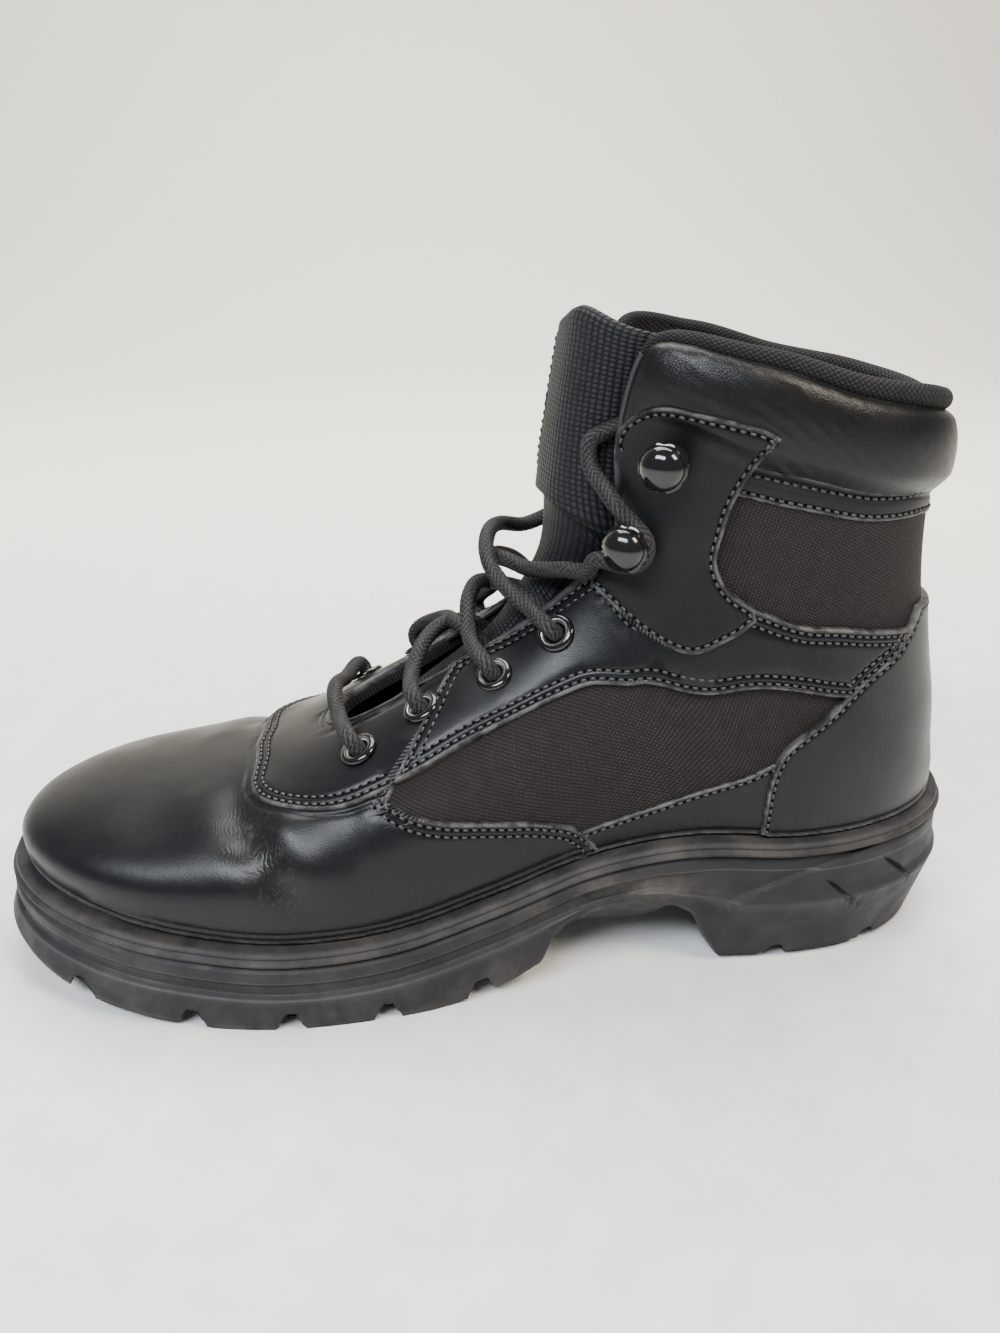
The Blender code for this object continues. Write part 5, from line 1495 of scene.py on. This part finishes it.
def lower_strand(eyelet, start, end, arch):
    """Route of a crossing's lower strand, from the medial eyelet to under the lateral edge."""
    turn, rise = eyelet
    first, middle, last = start + 0.25 * (end - start), (start + end) / 2, start + 0.75 * (end - start)
    rows = ((first, -0.95, 1.25), (middle, 0.0, arch), (last, 0.58, 0.0))
    return out_of_eyelet(-turn, rise) + over_throat(rows) + under_edge(start, end, 1)


def around_neck(hook, sign):
    """Boot points of the lace round a hook's neck: in from the front, round the rear, out upwards."""
    turn, rise = hook
    base = skin(sign * turn, rise)
    normal = outward(base)
    base = base + normal * (CLEARANCE + 2 * COVER_GAP + COVER + HOOK_FOOT + CLEARANCE + LACE_DIAMETER / 2)
    up = unit(np.array([0.0, 0.0, 1.0]) - normal * normal[2])
    rear = np.array([-1.0, 0.0, 0.0]) + normal * normal[0]
    rear = unit(rear - up * rear.dot(up))
    radius = HOOK_NECK / 2 + 2 * CLEARANCE + LACE_DIAMETER / 2
    clear = 0.72 * HOOK_DOME
    route = [base - up * radius - rear * clear, base - up * radius - rear * 0.3 * clear]
    for angle in (180, 150, 120, 90, 60, 40):
        turn_up, turn_rear = math.cos(math.radians(angle)), math.sin(math.radians(angle))
        route.append(base + radius * (up * turn_up + rear * turn_rear))
    leave = up * math.sin(math.radians(40)) - rear * math.cos(math.radians(40))
    route.append(route[-1] + leave * 0.3 * clear)
    route.append(route[-2] + leave * clear)
    return route


def build_laces():
    turn, rise = EYELETS[0]
    route = out_of_eyelet(turn, rise) + over_throat(BAR) + out_of_eyelet(-turn, rise)[::-1]
    braided("lace_first_bar", route, "lace_bar")
    for (word, start, end, arch), rows, eyelet in zip(CROSSINGS, UPPER_STRANDS, EYELETS[1:3]):
        above = out_of_eyelet(*eyelet) + over_throat(rows) + under_edge(start, end, -1)
        braided("lace_over_" + word, above, "lace_crossing_" + word)
        braided("lace_under_" + word, lower_strand(eyelet, start, end, arch), "lace_crossing_" + word)
    turn, rise = EYELETS[3]
    for word, sign, rows_in, rows_out in (("lateral", 1, LATERAL_IN, LATERAL_OUT),
                                          ("medial", -1, MEDIAL_IN, MEDIAL_OUT)):
        route = out_of_eyelet(-sign * turn, rise) + over_throat(rows_in)
        route += around_neck(HOOKS[0], sign) + over_throat(rows_out)
        thing, line, length = braided("lace_run_" + word, route, "lace_end_" + word)


def sole_turns():
    """Columns round the sole: even, with extra ones where the grooves between the lugs start and end."""
    coarse = np.linspace(0, 1, 601)
    line = skin(coarse, 0.0)
    along = line[:, 0]
    even = walked_along(line)
    turns = list(np.interp(np.linspace(0, even[-1], 260), even, coarse))
    for place in FORE_GROOVES + HEEL_GROOVES:
        for shift in (-0.55, -0.45, 0.0, 0.45, 0.55):
            turns.append(float(np.interp(-(place * LENGTH + shift * LUG_GROOVE), -along, coarse)))
    for place in np.arange(15, 53, 0.6) * MM:
        turns.append(float(np.interp(-place, -along, coarse)))
    turns = np.array(sorted(turns))
    keep = np.concatenate([[True], np.diff(turns) > 0.0006])
    turns = turns[keep]
    turns[0], turns[-1] = 0.0, 1.0
    return turns


def notch(along):
    """How far up a groove between lugs reaches at a place along the sole, 0 to 1."""
    depth = np.zeros_like(along)
    for place in FORE_GROOVES + HEEL_GROOVES:
        away = np.abs(along - place * LENGTH) / (0.5 * LUG_GROOVE)
        depth = np.maximum(depth, np.clip(1.9 - 1.8 * away, 0, 1))
    return depth


EDGE_ROUND = 0.45 * MM
ARCH_RIB_PITCH = 2.2 * MM
ARCH_RIB_DEPTH = 0.45 * MM
# The edge of the wedge over the heel, and the slits in it, mm
WEDGE_ALONG = (0, 20, 45, 69, 86)
WEDGE_UP = (44.5, 42.5, 37, 29, 21)
WEDGE_DEPTH = 1.5
SLITS = (
    # along, up, half width, depth
    (43.5, 25.5, 1.2, 1.9),
    (24.0, 29.5, 1.2, 1.8),
)


def outsole_rows(stack):
    """Rows down the sole's side with small rounds at its edges, and each row's place in the section."""
    rows, places = [stack[0]], [0.0]
    for i in range(1, len(stack)):
        a, b = stack[i - 1], stack[i]
        gap = np.linalg.norm(b - a, axis=1, keepdims=True)
        near = np.minimum(EDGE_ROUND / np.maximum(gap, 1e-9), 0.3)
        for share in [near] + [even + 0 * near for even in np.linspace(0.1, 0.9, 9)] + [1 - near]:
            share = np.clip(share, near, 1 - near)
            rows.append(a + (b - a) * share)
            places.append(i - 1 + float(share.mean()))
        if i < len(stack) - 1:
            rows.append(b + ((a - b) + (stack[i + 1] - b)) * near * 0.22)
            places.append(float(i))
    rows.append(stack[-1])
    places.append(float(len(stack) - 1))
    return np.stack(rows), np.array(places)


def carve_side(rows, places, turns):
    """Ribs at the arch, the wedge over the heel with its slits, and the grooves between the lugs."""
    base = ring(0.0, 0.0, turns)
    out = ring(0.001, 0.0, turns) - base
    out[:, 2] = 0
    out = unit(out)
    _, waist, heel = zones(base[:, 0]).T
    ribs = 0.5 + 0.5 * np.cos(walked_along(base) / ARCH_RIB_PITCH * 2 * math.pi)
    band = np.exp(-((places - 3.5) / 0.30) ** 4)
    rows -= (band[:, None] * waist * ribs * ARCH_RIB_DEPTH)[..., None] * out
    ledge = np.interp(rows[..., 0], np.array(WEDGE_ALONG) * MM, np.array(WEDGE_UP) * MM)
    front = np.clip((92 * MM - rows[..., 0]) / (12 * MM), 0, 1)
    step = smooth_step(np.clip((rows[..., 2] - ledge) / (1.1 * MM), 0, 1))
    rows -= (step * front * WEDGE_DEPTH * MM * (places[:, None] > 0.15))[..., None] * out
    for centre, middle_up, width, depth in SLITS:
        from_middle = rows[..., 2] - middle_up * MM
        away = np.abs(rows[..., 0] - centre * MM - from_middle * 1.15) / (width * MM)
        tall = np.exp(-(from_middle / (5.0 * MM)) ** 4)
        rows -= (np.clip(1 - away, 0, 1) * tall * depth * MM * heel)[..., None] * out
    cut = notch(rows[..., 0])
    fresh = underside(rows[..., 0]) + cut * LUG_DEPTH
    deep = (cut > 0) & (rows[..., 2] < fresh + 0.2 * MM)
    rows[..., 2] = np.where(deep, np.maximum(rows[..., 2], fresh), rows[..., 2])
    return rows


def build_outsole():
    """The outsole: stepped side, ribs at the arch, wedge over the heel, lugs and tread."""
    turns = sole_turns()
    weights = zones(ring(0.0, 0.0, turns)[:, 0])
    rings = [sole_ring(row[3:], row[:3], turns) for row in SOLE_SIDE]
    for extra, margins in ((BOTTOM_EDGE[0], BOTTOM_EDGE[1:]), (0.0, BOTTOM)):
        last = ring(weights @ np.array(margins) * LENGTH, 0.0, turns)
        last[:, 2] = underside(last[:, 0]) + extra * LENGTH
        rings.append(last)
    rows, places = outsole_rows(np.stack(rings))
    rows = carve_side(rows, places, turns)
    count = rows.shape[1]
    points = rows.reshape(-1, 3)
    faces = grid_faces(len(rows), count, True)
    bottom, bottom_faces = bottom_cap(rows[-1], (len(rows) - 1) * count, len(points), count)
    points = np.concatenate([points, bottom])
    faces += bottom_faces + flat_cap(0, count)
    # Two lighter lines along edges of the sole's side: painted highlight where the ledges catch light
    edge = np.zeros(len(points))
    line = np.exp(-((places - 5.0) / 0.12) ** 2) + np.exp(-((places - 2.0) / 0.10) ** 2)
    edge[:len(rows) * count] = np.repeat(line, count)
    add_piece("outsole_rubber", points, faces, RUBBER, ("outsole",),
              layers={"dust": sole_dust(points), "wear_and_highlight": edge * 0.6}, smooth_angle=32)


def sole_dust(points):
    """Dust: a little everywhere, more ahead of the heel and low on the lugs there, and a band at the arch."""
    low = np.exp(-(points[:, 2] - underside(points[:, 0])) / (9 * MM))
    band = zones(points[:, 0])[:, 1] * np.exp(-((points[:, 2] - 0.030) / (0.005)) ** 2)
    fore = np.clip((points[:, 0] - 0.10) / 0.06, 0, 1)
    return np.clip(0.02 + fore * (0.12 + 0.30 * low) + 0.60 * band, 0, 1)


def tread(along, side):
    """Grooves of the tread on the underside, as heights."""
    depth = np.zeros_like(along)
    for place in FORE_GROOVES + HEEL_GROOVES:
        bent = place * LENGTH - 0.16 * np.abs(side)
        away = np.abs(along - bent) / (1.9 * MM)
        depth = np.maximum(depth, np.clip(1.3 - away, 0, 1) * 2.6 * MM)
    middle = np.abs(np.abs(side) - 0.016) / (1.8 * MM)
    runs = (along > 0.56 * LENGTH) & (along < 0.86 * LENGTH)
    return np.maximum(depth, np.where(runs, np.clip(1.3 - middle, 0, 1) * 2.2 * MM, 0.0))


def lanes_of(offset, count):
    """The two lanes of point numbers round a closed ring, one down each side."""
    half = count // 2
    left = [offset + i for i in range(half + 1)]
    right = [offset] + [offset + count - i for i in range(1, half)] + [offset + half]
    return left, right


def lane_faces(lanes):
    """Faces between neighbouring lanes of point numbers, which may share points."""
    faces = []
    for a, b in zip(lanes, lanes[1:]):
        for i in range(len(a) - 1):
            quad = list(dict.fromkeys([a[i], a[i + 1], b[i + 1], b[i]]))
            if len(quad) > 2:
                faces.append(tuple(quad))
    return faces


def bottom_cap(edge, offset, start, count):
    """The underside, between mirrored points of the last ring."""
    half = count // 2
    left_lane, right_lane = lanes_of(offset, count)
    lanes, points = [left_lane], []
    for share in np.linspace(1, -1, 39)[1:-1]:
        lane = [offset]
        for i in range(1, half):
            left, right = edge[i], edge[count - i]
            point = (left + right) / 2 + (left - right) / 2 * share
            along, side = point[0], point[1]
            room = np.linalg.norm(left[:2] - right[:2]) / 2 * (1 - abs(share))
            groove = tread(along, side) * np.clip(room / (2 * MM), 0, 1)
            side_groove = notch(along) * LUG_DEPTH * np.clip((16.5 * MM - room) / (1.5 * MM), 0, 1)
            bar = waist_bar(along) * min(1.0, (1 - abs(share)) / 0.32)
            point[2] = max(0.0, underside(along) - bar) + max(groove if bar == 0 else 0, side_groove)
            points.append(point)
            lane.append(start + len(points) - 1)
        lane.append(offset + half)
        lanes.append(lane)
    lanes.append(right_lane)
    return np.array(points), lane_faces(lanes)


def flat_cap(offset, count):
    """A plain cap between mirrored points of a ring."""
    return lane_faces(lanes_of(offset, count))


def capped(rings):
    """Points and faces of closed rings with a plain cap at either end."""
    count = len(rings[0])
    faces = grid_faces(len(rings), count, True)
    faces += flat_cap(0, count) + flat_cap((len(rings) - 1) * count, count)
    return np.concatenate(rings), faces


def build_midsole():
    """The bead round the boot: a dark upper roll and a rounder lower roll."""
    turns = sole_turns()
    rows = (
        # share of the bead's height from the top, margin
        (0.00, 0.0040), (0.02, 0.0085), (0.10, 0.0118), (0.22, 0.0130), (0.34, 0.0132), (0.42, 0.0126),
        (0.46, 0.0124), (0.50, 0.0130), (0.58, 0.0152), (0.70, 0.0166), (0.82, 0.0164), (0.92, 0.0145),
        (1.00, 0.0105),
    )
    height = BEAD_HEIGHT - CLEARANCE
    rings = [ring(margin * LENGTH, CLEARANCE + height * share, turns) for share, margin in rows]
    points, faces = capped(rings)
    # A lighter line along the crest of the upper roll: painted highlight
    wear_and_highlight = np.repeat([np.exp(-((share - 0.22) / 0.1) ** 2) * 0.3 for share, _ in rows], len(rings[0]))
    dust = np.full(len(points), 0.35)
    add_piece("bead_rubber", points, faces, RUBBER, ("midsole",),
              layers={"dust": dust, "wear_and_highlight": wear_and_highlight}, smooth_angle=40)


def build_insole():
    """A thin felt insole with a slightly rounded upper edge."""
    turns = np.unique(np.concatenate([sole_turns()[::3], [0.0, 1.0]]))
    margin = UPPER_FACE - WALL - 2 * CLEARANCE
    rings = [ring(margin - 0.4 * MM, -INSOLE_THICKNESS, turns),
             ring(margin, -INSOLE_THICKNESS * 0.75, turns),
             ring(margin - 1.0 * MM, 0.0, turns)]
    points, faces = capped(rings)
    add_piece("insole_felt", points, faces, FELT, ("insole",))


def tube(name, line, radius, sides, finish):
    """A round roll along a line of boot points on the form."""
    run = unit(np.gradient(line, axis=0))
    across = unit(np.cross(run, outward(line)))
    normal = np.cross(across, run)
    angle = circle(sides)
    radius = np.broadcast_to(radius, len(line))[:, None, None]
    points = line[:, None] + radius * (across[:, None] * np.cos(angle)[None, :, None]
                                       + normal[:, None] * np.sin(angle)[None, :, None])
    faces = grid_faces(len(line), sides, True) + end_caps(len(line), sides)
    flat = np.broadcast_arrays(walked_along(line)[:, None], angle[None] * float(np.max(radius)))
    flat = np.stack(flat, -1).reshape(-1, 2)
    zero = np.zeros(len(flat))
    add_piece(name, points.reshape(-1, 3), faces, finish, flat=flat,
              layers={"wear_and_highlight": zero, "dust": zero}, smooth_angle=60)


COLLAR_FRONT = 0.745


def build_rim():
    """The mesh roll along the collar and the bound edges of the throat."""
    half = np.linspace(COLLAR_FRONT, 1.0, 110)
    turns = np.concatenate([half[:-1], 2 - half[::-1]])
    share = folded(turns)
    marks = [COLLAR_FRONT, 0.80, 0.90, 1.0]
    height = np.interp(share, marks, [0.4, 1.4, 2.6, 3.0]) * MM
    line = skin(turns, 1.0, -2.2 * MM)
    line[:, 2] += height - 0.6 * MM
    thick = np.interp(share, marks, [1.8, 2.4, 3.1, 3.3]) * MM
    tube("collar_roll", line, thick, 20, LINING)
    for word, sign in (("lateral", 1), ("medial", -1)):
        line = skin(np.linspace(0.40, COLLAR_FRONT, 130) * sign, 0.997, -0.9 * MM)
        tube("throat_binding_" + word, line, 1.25 * MM, 12, BINDING)


def build_tape():
    """The taped seam under the cuff and the stitches on it."""
    low = [(0.768, 0.726), (0.833, 0.725), (0.910, 0.755), (1.000, 0.762)]
    high = [(0.768, 0.800), (0.840, 0.800), (0.902, 0.812), (1.000, 0.815)]
    outline = over_heel(low) + [(2 - t, r) for t, r in high[:-1]] + high[::-1]
    leather_piece("collar_tape", outline, TAPE_LIFT, MATTE_LEATHER, (1.6 * MM, 6.4 * MM), ((0, 6),))


def build_floor():
    """A pale table that rises softly into a backdrop."""
    near, far, sweep, height, half_width = -4.0, 1.2, 0.8, 5.0, 7.0
    section = [(near, 0.0), (far, 0.0)]
    for i in range(1, 13):
        angle = math.radians(90 * i / 12)
        section.append((far + sweep * math.sin(angle), sweep * (1 - math.cos(angle))))
    section.append((far + sweep, height))
    points = [(x, y, z) for y, z in section for x in (-half_width, half_width)]
    faces = [(2 * i, 2 * i + 1, 2 * i + 3, 2 * i + 2) for i in range(len(section) - 1)]
    mesh = bpy.data.meshes.new("table_and_backdrop")
    mesh.from_pydata(points, [], faces)
    mesh.shade_smooth()
    thing = bpy.data.objects.new("table_and_backdrop", mesh)
    bpy.context.scene.collection.objects.link(thing)
    paint = Finish("pale_table", (0.74, 0.75, 0.76), 0.6, specular=0.25)
    depth = paint.node("ShaderNodeSeparateXYZ", {0: paint.place()}).outputs[1]
    mottle = paint.ramp(paint.noise(60.0, 5.0), 0.35, 0.65)
    tint = paint.mix(mottle, (0.66, 0.665, 0.665), (0.72, 0.725, 0.72))
    paint.colour(paint.mix(paint.ramp(depth, 0.12, 0.55), tint, (0.97, 0.93, 0.84)))
    paint.normal(paint.bump(paint.noise(420.0, 4.0), 0.0004, 0.5))
    mesh.materials.append(paint.material)


# Camera, solved from the photo: degrees, metres from the boot's heel on the floor, focal length in the
# photo's pixels, and how far the view is moved to take in the toe that the photo's edge cuts
PHOTO_WIDTH, PHOTO_HEIGHT = 1000, 1333
PITCH, ROLL, YAW = 23.2, 1.15, 6.96
CAMERA_AT = (-0.1673, -0.2959, 0.2123)
FOCAL_PIXELS = 1048.6
SHIFT_PIXELS = 44
SENSOR = 36.0


def build_camera():
    data = bpy.data.cameras.new("photo_camera")
    data.sensor_fit = "AUTO"
    data.sensor_width = SENSOR
    data.lens = FOCAL_PIXELS / PHOTO_HEIGHT * SENSOR
    data.shift_x = -SHIFT_PIXELS / PHOTO_HEIGHT
    data.clip_start = 0.01
    pitch, roll, yaw = [math.radians(v) for v in (PITCH, ROLL, YAW)]
    ahead = np.array([math.sin(yaw), math.cos(yaw), 0.0])
    right = np.array([math.cos(yaw), -math.sin(yaw), 0.0])
    look = ahead * math.cos(pitch) + np.array([0, 0, -math.sin(pitch)])
    up = ahead * math.sin(pitch) + np.array([0, 0, math.cos(pitch)])
    x = right * math.cos(roll) + up * math.sin(roll)
    y = -right * math.sin(roll) + up * math.cos(roll)
    place = np.array(CAMERA_AT) + np.array([CENTRE[0], CENTRE[1], 0.0])
    matrix = Matrix([[x[k], y[k], -look[k], place[k]] for k in range(3)] + [[0, 0, 0, 1]])
    thing = bpy.data.objects.new("photo_camera", data)
    bpy.context.scene.collection.objects.link(thing)
    thing.matrix_world = matrix
    bpy.context.scene.camera = thing


def soft_light(name, place, target, size, power, colour):
    data = bpy.data.lights.new(name, "AREA")
    data.shape = "RECTANGLE"
    data.size, data.size_y = size
    data.energy = power
    data.color = colour
    thing = bpy.data.objects.new(name, data)
    bpy.context.scene.collection.objects.link(thing)
    thing.location = place
    thing.rotation_euler = (Vector(target) - Vector(place)).to_track_quat("-Z", "Y").to_euler()


def build_light():
    studio = bpy.data.worlds.new("studio")
    studio.use_nodes = True
    background = studio.node_tree.nodes["Background"]
    background.inputs["Color"].default_value = (0.86, 0.87, 0.90, 1)
    background.inputs["Strength"].default_value = 0.32
    bpy.context.scene.world = studio
    soft_light("window", (-0.65, -0.80, 1.20), (-0.05, 0.0, 0.06), (1.00, 0.36), 38, (0.88, 0.94, 1.0))
    soft_light("ceiling", (0.10, 0.70, 1.70), (0.0, 0.1, 0.0), (1.6, 1.2), 68, (1.0, 0.98, 0.92))
    soft_light("lamp", (0.75, -0.55, 1.10), (0.08, 0.0, 0.15), (0.45, 0.45), 20, (1.0, 0.88, 0.70))


build_camera()
build_light()
build_floor()
build_laces()
build_shell()
build_leather()
build_tape()
build_cuff()
build_rim()
build_tongue()
build_eyelets()
build_hooks()
build_midsole()
build_outsole()
build_insole()
build_threads()
